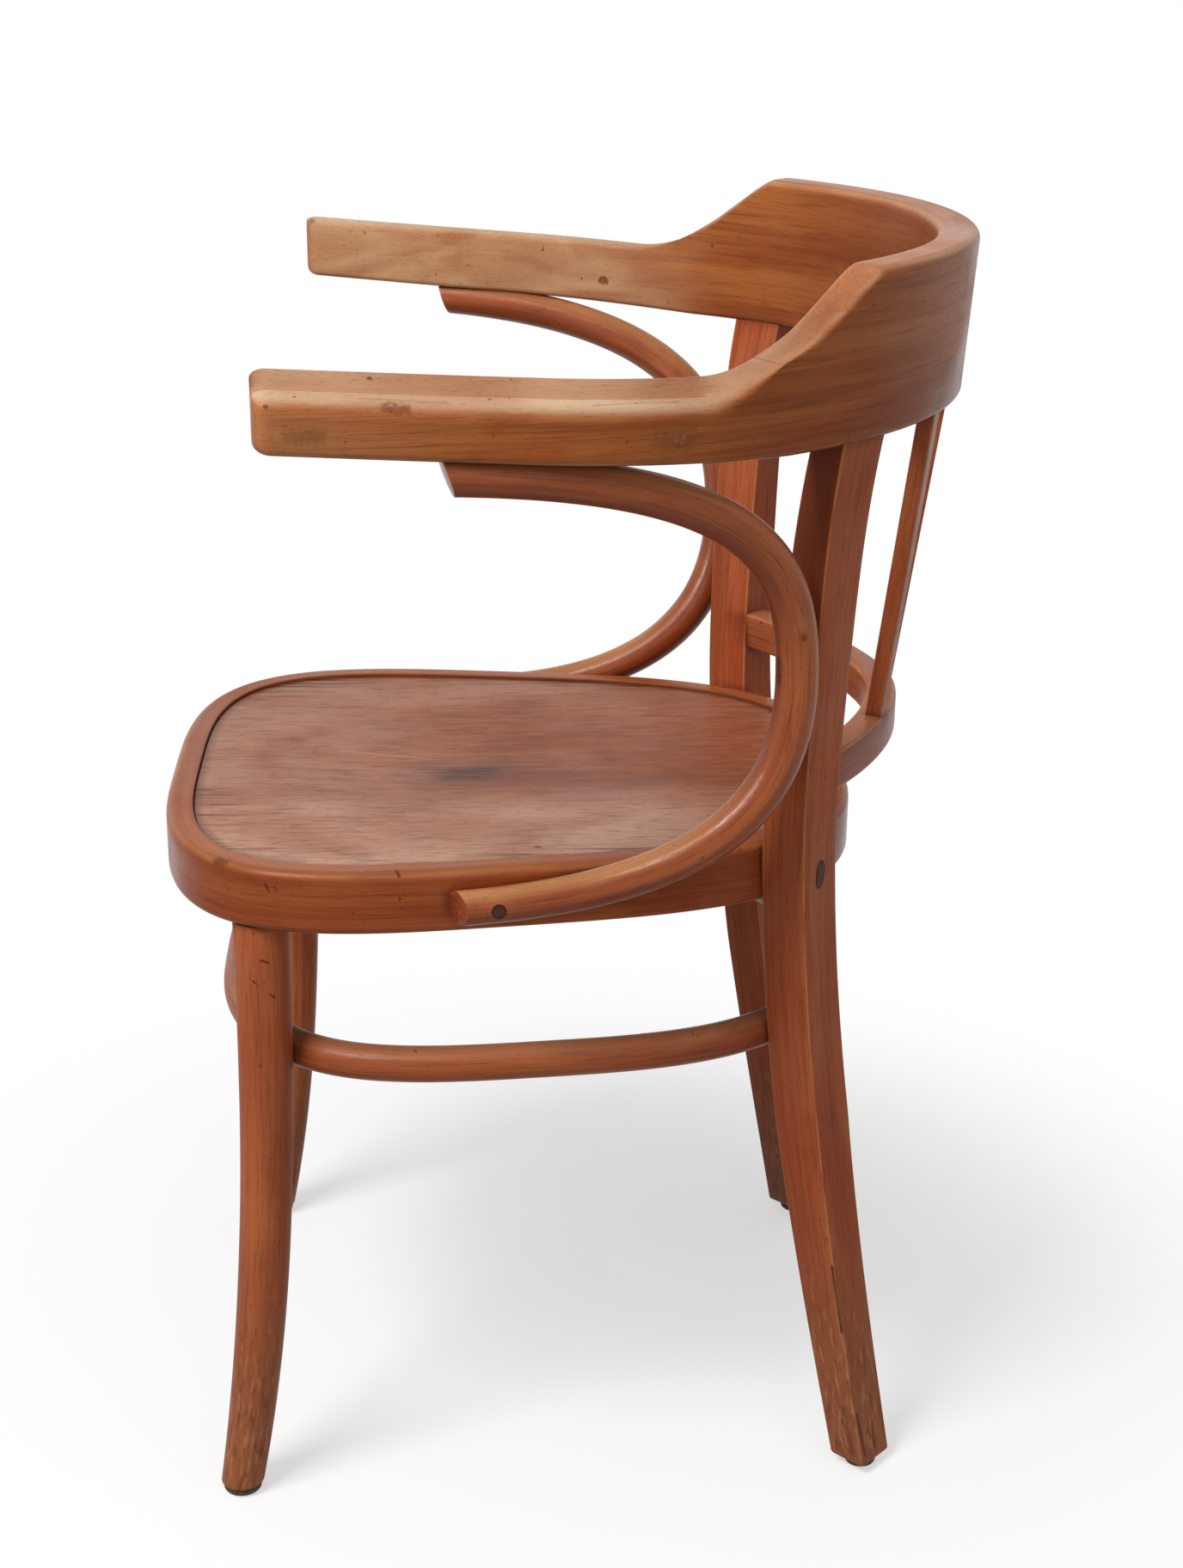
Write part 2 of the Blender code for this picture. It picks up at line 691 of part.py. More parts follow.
def seat_panel():
    """A dished sheet: a disc of rings shrunk toward the middle, thickened downward."""
    rim = seat_outline(-RING_LIP - FIT)
    centre = Vector((0.0, -SEAT_FORWARD, PANEL_TOP))
    shape = bmesh.new()
    rows = []
    for i in range(PANEL_RINGS):
        share = 1 - i / PANEL_RINGS
        sink = PANEL_DISH * (1 - share * share) ** 2
        level = centre - Vector((0.0, 0.0, sink))
        rows.append([shape.verts.new(level + Vector((p.x, p.y - centre.y, 0.0)) * share) for p in rim])
    middle = shape.verts.new((centre.x, centre.y, centre.z - PANEL_DISH))
    for wide, narrow in zip(rows, rows[1:]):
        for i in range(RING_STEPS):
            shape.faces.new((wide[i - 1], wide[i], narrow[i], narrow[i - 1]))
    for i in range(RING_STEPS):
        shape.faces.new((rows[-1][i - 1], rows[-1][i], middle))
    panel = finish_mesh("seat_panel", shape, SEAT_WOOD)
    shell = panel.modifiers.new("Thickness", "SOLIDIFY")
    shell.thickness = PANEL_THICKNESS
    shell.offset = -1.0
    return panel


# Lower back rail and spindles

RAIL_END = post_centre(RAIL_TOP - RAIL_HEIGHT / 2) - POST_OUT * RAIL_SETBACK
RAIL_SAG = RAIL_BACK_Y - RAIL_END.y


def rail_point(x):
    """Point of the rail's middle line: flat across the back, bent forward to both posts."""
    return Vector((x, RAIL_BACK_Y - RAIL_SAG * abs(x / RAIL_END.x) ** RAIL_BEND, 0.0))


def rail_normal(x):
    """Direction straight out of the rail."""
    slope = RAIL_SAG * RAIL_BEND * abs(x / RAIL_END.x) ** (RAIL_BEND - 1) / RAIL_END.x
    return Vector((math.copysign(slope, x), 1.0, 0.0)).normalized()


def back_rail(name, surface, grow=0.0):
    """The bowed rail, or its mortise cutter when grown by the clearance."""
    bottom = Vector((0.0, 0.0, RAIL_TOP - RAIL_HEIGHT - grow))
    turns = [math.radians(90 - 180 * i / RAIL_STEPS) for i in range(RAIL_STEPS + 1)]
    path = [rail_point((RAIL_END.x + grow) * math.sin(turn)) + bottom for turn in turns]
    section = rounded(RAIL_THICKNESS + 2 * grow, RAIL_HEIGHT + 2 * grow, RAIL_ARRIS, RAIL_ARRIS, 1)
    return finish_mesh(name, sweep(path, section), surface)


def spindle(name, place_number, surface, grow=0.0):
    """One square spindle let into the rail and the bow, or its socket cutter."""
    off_centre = place_number - (SPINDLE_COUNT - 1) / 2
    foot_x = off_centre * SPINDLE_FOOT_PITCH
    foot = rail_point(foot_x) + rail_normal(foot_x) * SPINDLE_FOOT_OUT
    foot.z = RAIL_TOP
    head_at = off_centre * SPINDLE_HEAD_PITCH
    head = bow_point(head_at) + bow_normal(head_at) * SPINDLE_HEAD_OUT
    head.z = BOW_BOTTOM
    run = (head - foot).normalized()
    length = (head - foot).length + 2 * SPINDLE_SOCKET + 2 * grow
    side = bow_normal(head_at).cross(run).normalized()
    shape = bmesh.new()
    bmesh.ops.create_cube(shape, size=1.0)
    width = SPINDLE_SIDE + 2 * grow
    bmesh.ops.scale(shape, verts=shape.verts, vec=(width, width, length))
    made = finish_mesh(name, shape, surface)
    turn = Matrix((side, run.cross(side), run)).transposed()
    made.rotation_euler = turn.to_euler()
    made.location = (foot + head) / 2
    if surface is not None:
        edge = made.modifiers.new("Arris", "BEVEL")
        edge.width = SPINDLE_ARRIS
        edge.segments = 1
    return made


# Arm hoops

def hoop_rear():
    """Where the left hoop's middle line leans on the post."""
    depth = post_size(HOOP_REAR_HEIGHT)[1]
    off = depth / 2 + HOOP_RADIUS + FIT
    return post_centre(HOOP_REAR_HEIGHT) + POST_FACE * off + POST_OUT * HOOP_REAR_SHIFT


def hoop_knots():
    """Tip under the arm, rear at the post and end beside the ring, with the handles between them."""
    tip = bow_point(HOOP_TIP_AT)
    tip.z = bow_bottom(HOOP_TIP_AT) - HOOP_TIP_RADIUS + HOOP_FLAT
    rear = hoop_rear()
    turn = seat_angle_at(HOOP_END_Y)
    end = seat_point(turn) + seat_normal(turn) * (HOOP_END_RADIUS - HOOP_END_FLAT)
    end.z = RING_MIDDLE
    upper = (tip, tip + Vector(HOOP_TIP_HANDLE), rear + Vector(HOOP_REAR_HANDLE_UP), rear)
    lower = (rear, rear + Vector(HOOP_REAR_HANDLE_DOWN), end + Vector(HOOP_END_HANDLE), end)
    return upper, lower


HOOP_UPPER, HOOP_LOWER = hoop_knots()


def hoop(name, side):
    """One bent rod, both ends sawn at a slant. Its run counts 0 to 1 from tip to post, 2 at the ring."""
    points = [bezier(*HOOP_UPPER, i / HOOP_STEPS) for i in range(HOOP_STEPS)]
    points += [bezier(*HOOP_LOWER, i / HOOP_STEPS) for i in range(HOOP_STEPS + 1)]
    run = np.linspace(0.0, 2.0, len(points))
    thin = (HOOP_TIP_RADIUS, HOOP_RADIUS, HOOP_RADIUS, HOOP_END_RADIUS)
    radii = [float(r) for r in np.interp(run, (0.0, HOOP_FULL_FROM, HOOP_FULL_TO, 2.0), thin)]
    lead = (points[0] - points[1]).normalized()
    tail = (points[-1] - points[-2]).normalized()
    points.insert(0, points[0] + lead * HOOP_TIP_RADIUS)
    points.append(points[-1] + tail * HOOP_END_RADIUS)
    radii = [HOOP_TIP_RADIUS] + radii + [HOOP_END_RADIUS]
    shape = rod([mirrored(p, side) for p in points], radii)
    slant = math.radians(HOOP_TIP_SLANT)
    forward = lead * math.cos(slant) - Vector((0.0, 0.0, math.sin(slant)))
    trim(shape, mirrored(HOOP_UPPER[0], side), mirrored(forward, side), 4 * HOOP_RADIUS)
    slant = math.radians(HOOP_END_SLANT)
    forward = tail * math.cos(slant) + seat_normal(seat_angle_at(HOOP_END_Y)) * math.sin(slant)
    trim(shape, mirrored(HOOP_LOWER[3], side), mirrored(forward, side), 4 * HOOP_RADIUS)
    return finish_mesh(name, shape, FRAME_WOOD)


# Stretcher ring

def stretcher_contacts():
    """Where the stretcher's middle line passes the left front leg and the left post, and its way to each."""
    front_way = Vector((1.0, -1.0, 0.0)).normalized()
    reach = front_leg_radius(STRETCHER_HEIGHT) + STRETCHER_RADIUS - STRETCHER_HOUSING
    front = front_leg_centre(STRETCHER_HEIGHT) - front_way * reach
    reach = post_size(STRETCHER_HEIGHT)[0] / 2 + STRETCHER_RADIUS - STRETCHER_HOUSING
    rear = post_centre(STRETCHER_HEIGHT) - POST_OUT * reach
    return ((front, front_way), (rear, POST_OUT))


STRETCHER_CONTACTS = stretcher_contacts()


def stretcher_path():
    """Rounded ring through the four contacts, which lie on its diagonals."""
    front, rear = STRETCHER_CONTACTS[0][0], STRETCHER_CONTACTS[1][0]
    diagonal = 0.5 ** (1 / STRETCHER_SQUARENESS)
    half_depth = (rear.y - front.y) / 2 / diagonal
    half_width = (rear.x + front.x) / 2 / diagonal
    taper = (front.x - rear.x) / (rear.y - front.y) / diagonal
    middle = Vector((0.0, (rear.y + front.y) / 2, STRETCHER_HEIGHT))
    diagonal_turn = math.cos(math.radians(45))
    path = []
    for i in range(STRETCHER_STEPS):
        turn = 2 * math.pi * i / STRETCHER_STEPS
        point = bent_ring(turn, half_width, half_depth, STRETCHER_SQUARENESS, taper) + middle
        if math.cos(turn) > diagonal_turn:
            point.y -= STRETCHER_FRONT_BULGE * math.cos(2 * turn) ** 2
        path.append(point)
    return path


def stretcher(name, surface, grow=0.0):
    """The bent rod ring, or the cutter for its housings in the legs."""
    path = stretcher_path()
    return finish_mesh(name, rod(path, [STRETCHER_RADIUS + grow] * len(path), True, sides=10), surface)


# Glides, pins, plugs and screws

def glide_profile(grow=0.0):
    """A round-edged disc with a nail on top, from the nail's point down."""
    nail = GLIDE_NAIL_RADIUS + grow
    if grow:
        return cylinder(nail, -GLIDE_NAIL_LENGTH - grow, FIT)
    edge = GLIDE_RADIUS - GLIDE_EDGE
    return (
        (0.0, -GLIDE_NAIL_LENGTH),
        (nail, -GLIDE_NAIL_LENGTH),
        (nail, 0.0),
        (GLIDE_RADIUS, 0.0),
        (GLIDE_RADIUS, GLIDE_HEIGHT - GLIDE_EDGE),
        (edge, GLIDE_HEIGHT),
        (0.0, GLIDE_HEIGHT),
    )


def fastener(name, length, tip, axis, *targets):
    """A countersunk screw with its hole in each piece that it passes through."""
    turned(name, screw_profile(length), tip, axis, STEEL)
    hole = turned(name + "_hole", screw_profile(length, FIT), tip, axis)
    for target in targets:
        cut(target, hole)


def pin(name, radius, start, end, tip, axis, *targets, stretch=1.0):
    """A wooden pin or plug with its hole in each piece, round or stretched to an upright oval."""
    plug = turned(name, cylinder(radius, start, end), tip, axis, PLUG_WOOD)
    hole = turned(name + "_hole", cylinder(radius + FIT, start - FIT, end + FIT), tip, axis)
    plug.scale.y = stretch
    hole.scale.y = stretch
    for target in targets:
        cut(target, hole)


def join_post(label, side, post, ring):
    """The plugged screw through the post into the ring."""
    height = RING_MIDDLE + PLUG_UP
    width = post_size(height)[0]
    out = mirrored(POST_OUT, side)
    outer = mirrored(post_centre(height) + POST_OUT * (width / 2), side)
    pin("post_plug_" + label, PLUG_RADIUS, 0.0, PLUG_DEPTH, outer, -out, post, stretch=PLUG_STRETCH)
    through = width - POST_HOUSING - PLUG_DEPTH
    seat = outer - out * (PLUG_DEPTH + 2 * FIT)
    fastener("post_screw_" + label, through + SCREW_BITE, seat, -out, post, ring)


def join_hoop(label, side, rod_piece, ring, bow, post):
    """The hoop's screws: a plugged one into the ring, one up into the arm and one into the post."""
    turn = seat_angle_at(HOOP_PLUG_Y)
    out = mirrored(seat_normal(turn), side)
    surface_point = seat_point(turn)
    surface_point.z = RING_MIDDLE
    outer = mirrored(surface_point, side) + out * (2 * HOOP_END_RADIUS - HOOP_END_FLAT)
    pin("hoop_plug_" + label, HOOP_PLUG_RADIUS, 0.0, HOOP_PLUG_DEPTH, outer, -out, rod_piece)
    head = outer - out * (HOOP_PLUG_DEPTH + 2 * FIT)
    through = 2 * HOOP_END_RADIUS - HOOP_END_FLAT - HOOP_PLUG_DEPTH
    fastener("hoop_seat_screw_" + label, through + SCREW_BITE, head, -out, rod_piece, ring)

    share = (HOOP_TIP_AT - ARM_SCREW_AT) / HOOP_TIP_HANDLE[1] / 3
    below = bezier(*HOOP_UPPER, share) - Vector((0.0, 0.0, HOOP_TIP_RADIUS - SCREW_HEAD_DEPTH))
    up_length = bow_bottom(ARM_SCREW_AT) - below.z + SCREW_BITE
    fastener("hoop_arm_screw_" + label, up_length, mirrored(below, side), (0.0, 0.0, 1.0), rod_piece, bow)

    into = mirrored(-POST_FACE, side)
    front = mirrored(hoop_rear(), side) - into * (HOOP_RADIUS - SCREW_HEAD_DEPTH)
    length = 2 * HOOP_RADIUS - SCREW_HEAD_DEPTH + FIT + SCREW_BITE
    fastener("hoop_post_screw_" + label, length, front, into, rod_piece, post)


def pin_arm(label, side, bow):
    """The pin across the arm, flush with both faces."""
    at = ARM_PIN_AT * side
    out = bow_normal(at)
    centre = bow_point(at)
    centre.z = bow_bottom(at) + ARM_PIN_UP
    outer = centre + out * (BOW_THICKNESS / 2 + lean(at, ARM_PIN_UP))
    pin("arm_pin_" + label, ARM_PIN_RADIUS, 0.0, BOW_THICKNESS, outer, -out, bow)


def set_glide(label, foot, leg):
    """A glide nailed under one foot."""
    tip = Vector((foot.x, foot.y, GLIDE_HEIGHT))
    turned("glide_" + label, glide_profile(), tip, (0.0, 0.0, -1.0), RUBBER, 16)
    cut(leg, turned("glide_hole_" + label, glide_profile(FIT), tip, (0.0, 0.0, -1.0)))


def build():
    """Make every piece and fit them together."""
    bow = loft("arm_bow", bow_rings(), ARM_WOOD)
    bow_space = loft("bow_space", bow_rings(FIT), None)
    loft("crest_rail", crest_rings(), ARM_WOOD)
    ring = seat_ring()
    seat_space = prism("seat_space", seat_outline(FIT), RING_BOTTOM - FIT, SEAT_TOP + FIT)
    seat_panel()
    rail = back_rail("lower_back_rail", FRAME_WOOD)
    rail_space = back_rail("rail_space", None, FIT)
    ring_rod = stretcher("stretcher_ring", FRAME_WOOD)
    rod_space = stretcher("stretcher_space", None, FIT)
    for number in range(SPINDLE_COUNT):
        spindle(f"back_spindle_{number + 1}", number, FRAME_WOOD)
        socket = spindle(f"spindle_socket_{number + 1}", number, None, FIT)
        cut(bow, socket)
        cut(rail, socket)
    for label, side in SIDES:
        post = loft("back_post_" + label, post_rings(side), FRAME_WOOD)
        leg = front_leg("front_leg_" + label, side)
        tube = hoop("arm_hoop_" + label, side)
        cut(post, seat_space, rail_space, rod_space)
        cut(leg, rod_space)
        cut(tube, bow_space, seat_space)
        tenon = cylinder(TENON_RADIUS + FIT, -TENON_LENGTH - FIT, FIT)
        shoulder = mirrored(FRONT_TOP, side) + Vector((0.0, 0.0, LEG_SHOULDER))
        cut(ring, turned("tenon_hole_" + label, tenon, shoulder, (0.0, 0.0, -1.0), None, 16))
        head = mirrored(post_centre(POST_HEAD), side)
        upward = Vector((0.0, 0.0, 1.0))
        dowel_start = head - upward * DOWEL_DEPTH
        pin("post_dowel_" + label, DOWEL_RADIUS, 0.0, 2 * DOWEL_DEPTH, dowel_start, upward, post, bow)
        join_post(label, side, post, ring)
        join_hoop(label, side, tube, ring, bow, post)
        pin_arm(label, side, bow)
        for spot, (middle, way) in zip(("front", "back"), STRETCHER_CONTACTS):
            out = mirrored(way, side)
            inner = mirrored(middle, side) - out * (STRETCHER_RADIUS - SCREW_HEAD_DEPTH)
            length = 2 * STRETCHER_RADIUS - SCREW_HEAD_DEPTH + SCREW_BITE
            carrier = leg if spot == "front" else post
            fastener(f"stretcher_screw_{spot}_{label}", length, inner, out, ring_rod, carrier)
        set_glide("front_" + label, mirrored(front_leg_centre(FOOT_CUT), side), leg)
        set_glide("back_" + label, mirrored(post_centre(FOOT_CUT), side), post)
    back = BOW_BACK_Y + BOW_THICKNESS / 2 + lean(0.0, CREST_TOP - CREST_ROUND - BOW_BOTTOM)
    ROOT.location.y = (SEAT_HALF_DEPTH + SEAT_FORWARD - back) / 2
    bpy.context.view_layer.update()


build()
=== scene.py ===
# %% [markdown]
# # Dressing a bentwood bistro armchair
# The packed solids give every size and joint of the chair. This lesson covers them with finer
# pieces: the same bent curves cut into many more facets, and stained beech whose grain follows
# each bend. The curves are written in a frame whose origin lies under the middle of the seat,
# and the last step of each piece slides it onto the packed chair.

# %% Load the packed chair
import json
import math
from contextlib import contextmanager
from types import SimpleNamespace

import bmesh
import bpy
import numpy as np
from mathutils import Matrix, Vector
from mathutils.bvhtree import BVHTree

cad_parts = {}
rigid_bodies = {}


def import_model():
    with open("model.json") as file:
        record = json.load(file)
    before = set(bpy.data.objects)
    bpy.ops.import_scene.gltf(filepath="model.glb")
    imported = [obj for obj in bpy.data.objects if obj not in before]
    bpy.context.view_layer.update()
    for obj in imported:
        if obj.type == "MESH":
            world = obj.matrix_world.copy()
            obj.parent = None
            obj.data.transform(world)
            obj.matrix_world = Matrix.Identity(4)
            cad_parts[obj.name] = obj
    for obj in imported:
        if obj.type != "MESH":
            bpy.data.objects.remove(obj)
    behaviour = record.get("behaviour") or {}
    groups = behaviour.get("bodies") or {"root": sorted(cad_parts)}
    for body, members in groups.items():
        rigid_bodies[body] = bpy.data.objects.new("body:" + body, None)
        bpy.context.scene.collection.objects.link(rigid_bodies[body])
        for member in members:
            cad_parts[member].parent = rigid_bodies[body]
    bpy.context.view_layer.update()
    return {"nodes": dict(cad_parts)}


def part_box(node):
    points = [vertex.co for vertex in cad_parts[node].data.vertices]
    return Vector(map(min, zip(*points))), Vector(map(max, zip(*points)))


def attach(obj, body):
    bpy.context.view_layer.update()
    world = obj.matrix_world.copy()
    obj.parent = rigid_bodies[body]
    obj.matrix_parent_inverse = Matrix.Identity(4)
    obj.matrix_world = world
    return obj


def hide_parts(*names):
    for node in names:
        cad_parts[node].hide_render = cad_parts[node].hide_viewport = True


for old in list(bpy.data.objects):
    bpy.data.objects.remove(old)
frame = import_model()
print("packed nodes:", len(frame["nodes"]))

# %% [markdown]
# ## The camera
# The photograph was taken from the sitter's left, a little above the arms, with a long lens.
# A camera could be aimed with a Track To constraint, but a measured view is clearer as a matrix:
# its columns are the directions right, up and backward, and the roll turns the first two.

# %% Camera
FOCUS_PIXELS = 2900.0
PHOTO_HEIGHT = 1824.0
VIEW_YAW = math.radians(3.403)
VIEW_PITCH = math.radians(20.423)
VIEW_ROLL = math.radians(0.568)
VIEW_FROM = Vector((1.5681, -0.0719, 1.009))
FARTHEST_SEEN = 60.0
UP = Vector((0.0, 0.0, 1.0))


def placed(name, data):
    """A new object in the scene."""
    made = bpy.data.objects.new(name, data)
    bpy.context.scene.collection.objects.link(made)
    return made


def aim_camera():
    """A camera at the photograph's place and angle."""
    level = math.cos(VIEW_PITCH)
    ahead = Vector((-math.cos(VIEW_YAW) * level, math.sin(VIEW_YAW) * level, -math.sin(VIEW_PITCH)))
    right = ahead.cross(UP).normalized()
    up = right.cross(ahead)
    turn = Matrix.Rotation(-VIEW_ROLL, 3, ahead)
    axes = Matrix((turn @ right, turn @ up, -ahead)).transposed()
    data = bpy.data.cameras.new("photo_camera")
    data.sensor_width = 36.0
    data.lens = FOCUS_PIXELS / PHOTO_HEIGHT * data.sensor_width
    data.clip_end = FARTHEST_SEEN
    camera = placed("photo_camera", data)
    camera.matrix_world = Matrix.Translation(VIEW_FROM) @ axes.to_4x4()
    bpy.context.scene.camera = camera
    return camera


print("lens", round(aim_camera().data.lens, 2), "mm")

# %% [markdown]
# ## Light, floor and backdrop
# The studio is white all round, with one broad lamp ahead of the chair and to the camera's left,
# so the shadow falls back and to the right. A weak fill from the camera's right opens the shaded
# sides. The world lights the chair evenly at a plain level. Rays that come straight from the camera
# see pure white instead, through Light Path, so the paper looks white without more light on the
# wood. The floor blends into that white away from the chair, and is greyer to the rays that bounce
# from it, so that the chair's undersides stay dark.

# %% Node helper
class Graph:
    """A node tree under construction: each call adds one node."""

    def __init__(self, tree):
        self.tree = tree

    def put(self, socket, value):
        """Link an output to a socket, or set the socket's own value. A colour needs no alpha."""
        if isinstance(value, bpy.types.NodeSocket):
            self.tree.links.new(value, socket)
        elif socket.type == "RGBA":
            socket.default_value = (*value, 1.0)
        else:
            socket.default_value = value

    def add(self, kind, *values, **settings):
        """Add a node, set its options, and fill its inputs in order. None skips an input."""
        made = self.tree.nodes.new(kind)
        for key, value in settings.items():
            setattr(made, key, value)
        for socket, value in zip(made.inputs, values):
            if value is not None:
                self.put(socket, value)
        return made

    def stored(self, label, output="Fac"):
        """A number or vector that the mesh stores, for a shader."""
        return self.add("ShaderNodeAttribute", attribute_name=label).outputs[output]

    def math(self, operation, a, b=0.0):
        return self.add("ShaderNodeMath", a, b, operation=operation).outputs[0]

    def times(self, a, b):
        return self.math("MULTIPLY", a, b)

    def larger(self, a, b):
        return self.math("MAXIMUM", a, b)

    def vector(self, operation, *values):
        """Vector maths. A length or a product is in the output called Value."""
        return self.add("ShaderNodeVectorMath", *values, operation=operation).outputs

    def noise(self, vector, factors, detail=2.0, warp=0.0):
        """Noise stretched by three factors, in turns per metre."""
        made = self.add("ShaderNodeTexNoise", self.vector("MULTIPLY", vector, factors)[0])
        made.inputs["Scale"].default_value = 1.0
        made.inputs["Detail"].default_value = detail
        made.inputs["Distortion"].default_value = warp
        return made.outputs[0]

    def step(self, value, low, high, bottom=0.0, top=1.0):
        """A soft step from one value to another between two limits."""
        limits = (value, low, high, bottom, top)
        return self.add("ShaderNodeMapRange", *limits, interpolation_type="SMOOTHSTEP").outputs[0]

    def mix(self, share, first, second):
        """Two colours mixed by a share of the second."""
        made = self.add("ShaderNodeMix", share, data_type="RGBA")
        self.put(made.inputs[6], first)
        self.put(made.inputs[7], second)
        return made.outputs[2]


def white_share(graph, share):
    """A share that counts only for rays that the camera, a gloss or a glass sends."""
    rays = graph.add("ShaderNodeLightPath").outputs
    seen = graph.larger(rays["Is Camera Ray"], rays["Is Glossy Ray"])
    seen = graph.larger(seen, rays["Is Transmission Ray"])
    return graph.times(seen, share)


print("node helpers:", [call for call in vars(Graph) if not call.startswith("_")])

# %% World, floor and lamps
AMBIENT = 0.38
BOUNCE = 0.42
KEY_POWER = 57.0
FILL_POWER = 8.0
FLOOR_REACH = 14.0
FADE_FROM = 0.26
FADE_TO = 0.68
FADE_LEAST = 0.55
WHITE = (1.0, 1.0, 1.0)
KEY_FROM = (1.10, -1.20, 2.45)
KEY_AT = (0.0, 0.0, 0.4)
KEY_SIDE = 1.0
FILL_FROM = (2.6, 1.0, 1.6)
FILL_AT = (0.0, 0.0, 0.5)
FILL_SIDE = 1.6


@contextmanager
def edited(mesh):
    """Open a mesh for editing, and write it back."""
    shape = bmesh.new()
    shape.from_mesh(mesh)
    yield shape
    shape.to_mesh(mesh)
    shape.free()


def light_world():
    """White to the camera, and an even grey light on the chair."""
    world = bpy.data.worlds.new("studio")
    world.use_nodes = True
    graph = Graph(world.node_tree)
    shader = world.node_tree.nodes["Background"]
    graph.put(shader.inputs["Color"], WHITE)
    graph.put(shader.inputs["Strength"], graph.step(white_share(graph, 1.0), 0.0, 1.0, AMBIENT, 1.0))
    bpy.context.scene.world = world


def paper_floor():
    """A white sheet that keeps the chair's shadow and fades to the white behind it."""
    paper = bpy.data.materials.new("paper")
    paper.use_nodes = True
    graph = Graph(paper.node_tree)
    seen = graph.add("ShaderNodeLightPath").outputs["Is Camera Ray"]
    diffuse = graph.add("ShaderNodeBsdfDiffuse", graph.step(seen, 0.0, 1.0, BOUNCE, 1.0)).outputs[0]
    glow = graph.add("ShaderNodeEmission", WHITE, 1.0).outputs[0]
    away = graph.vector("LENGTH", graph.add("ShaderNodeTexCoord").outputs["Object"])["Value"]
    share = white_share(graph, graph.step(away, FADE_FROM, FADE_TO, FADE_LEAST, 1.0))
    blend = graph.add("ShaderNodeMixShader", share, diffuse, glow).outputs[0]
    graph.put(paper.node_tree.nodes["Material Output"].inputs["Surface"], blend)
    mesh = bpy.data.meshes.new("floor")
    with edited(mesh) as shape:
        bmesh.ops.create_grid(shape, x_segments=1, y_segments=1, size=FLOOR_REACH)
    mesh.materials.append(paper)
    floor = placed("floor", mesh)


def lamp(name, place, target, width, height, power, shine_only=False):
    """A soft box aimed at a point. A shine-only box shows in the varnish and adds no other light."""
    data = bpy.data.lights.new(name, "AREA")
    data.shape = "RECTANGLE"
    data.size = width
    data.size_y = height
    data.energy = power
    made = placed(name, data)
    made.visible_diffuse = not shine_only
    made.location = place
    made.rotation_euler = (Vector(target) - Vector(place)).to_track_quat("-Z", "Y").to_euler()
    return made


light_world()
paper_floor()
lamp("key_box", KEY_FROM, KEY_AT, KEY_SIDE, KEY_SIDE, KEY_POWER)
lamp("fill_box", FILL_FROM, FILL_AT, FILL_SIDE, FILL_SIDE, FILL_POWER)
bpy.context.scene.view_settings.view_transform = "Standard"
print("ambient", AMBIENT, "key", KEY_POWER, "fill", FILL_POWER)

# %% [markdown]
# ## The chair's own sizes
# These are the sizes of the packed solids, so that each finer piece lies where its solid does.
# They could be read off the solids' boxes, but a bend is told by its curve and not by its box.

# %% Sizes
# Seat ring and panel
SEAT_TOP = 0.4435
RING_HEIGHT = 0.040
RING_WIDTH = 0.031
RING_LIP = 0.017
RING_ROUND = 0.006
SEAT_HALF_WIDTH = 0.1935
SEAT_HALF_DEPTH = 0.2218
SEAT_SQUARENESS = 3.3
SEAT_TAPER = 0.13
SEAT_FORWARD = 0.0030
PANEL_THICKNESS = 0.006
PANEL_RECESS = 0.002
PANEL_DISH = 0.004
# Front legs, with angles in degrees
LEG_ANGLE = 51.8
LEG_INSET = 0.0210
LEG_SPLAY_X = 0.013
LEG_SPLAY_Y = 0.0265
LEG_SWEEP = 2.7
LEG_TOP_RADIUS = 0.0175
LEG_MID_RADIUS = 0.0164
LEG_FOOT_RADIUS = 0.0138
# Back posts, with widths and depths at the floor, the knee, the seat and the head
POST_ANGLE = 127.6
POST_FACING = 45.0
POST_HOUSING = 0.003
POST_HEAD_AT = 0.2128
POST_ARRIS = 0.0018
POST_KNEE = Vector((0.1421, 0.1882, 0.25))
POST_FOOT = Vector((0.1697, 0.2283, 0.0))
POST_BOW = 0.0025
POST_WIDTHS = (0.0262, 0.0356, 0.0332, 0.0235)
POST_DEPTHS = (0.0300, 0.0338, 0.0330, 0.0385)
# Arm bow and crest
BOW_BOTTOM = 0.7018
BOW_HEIGHT = 0.0397
BOW_THICKNESS = 0.026
BOW_BACK_Y = 0.2675
BOW_LEAN = 3.8
BOW_SHOULDER = Vector((0.276, 0.0108, 0.0))
BOW_SHOULDER_PULL = 0.102
BOW_BACK_PULL = 0.168
BOW_OUTER_ROUND = 0.012
BOW_INNER_ROUND = 0.006
BOW_ARRIS = 0.004
ARM_TOP_SLOPE = 0.0095
ARM_LENGTH = 0.1545
ARM_FLARE = 7.0
ARM_RISE = 0.0175
ARM_RISE_FROM = 0.270
ARM_RISE_EASE = 1.2
ARM_TIP_HEIGHT = 0.0372
ARM_TIP_ROUND = 0.009
CREST_TOP = 0.800
CREST_SEAM = 0.754
CREST_HALF_LENGTH = 0.209
CREST_RAMP_LENGTH = 0.118
CREST_RAMP_RISE = 1.9
CREST_RAMP_EASE = 1.35
CREST_END = 0.0002
CREST_ROUND = 0.006
CREST_BLEND = 0.040
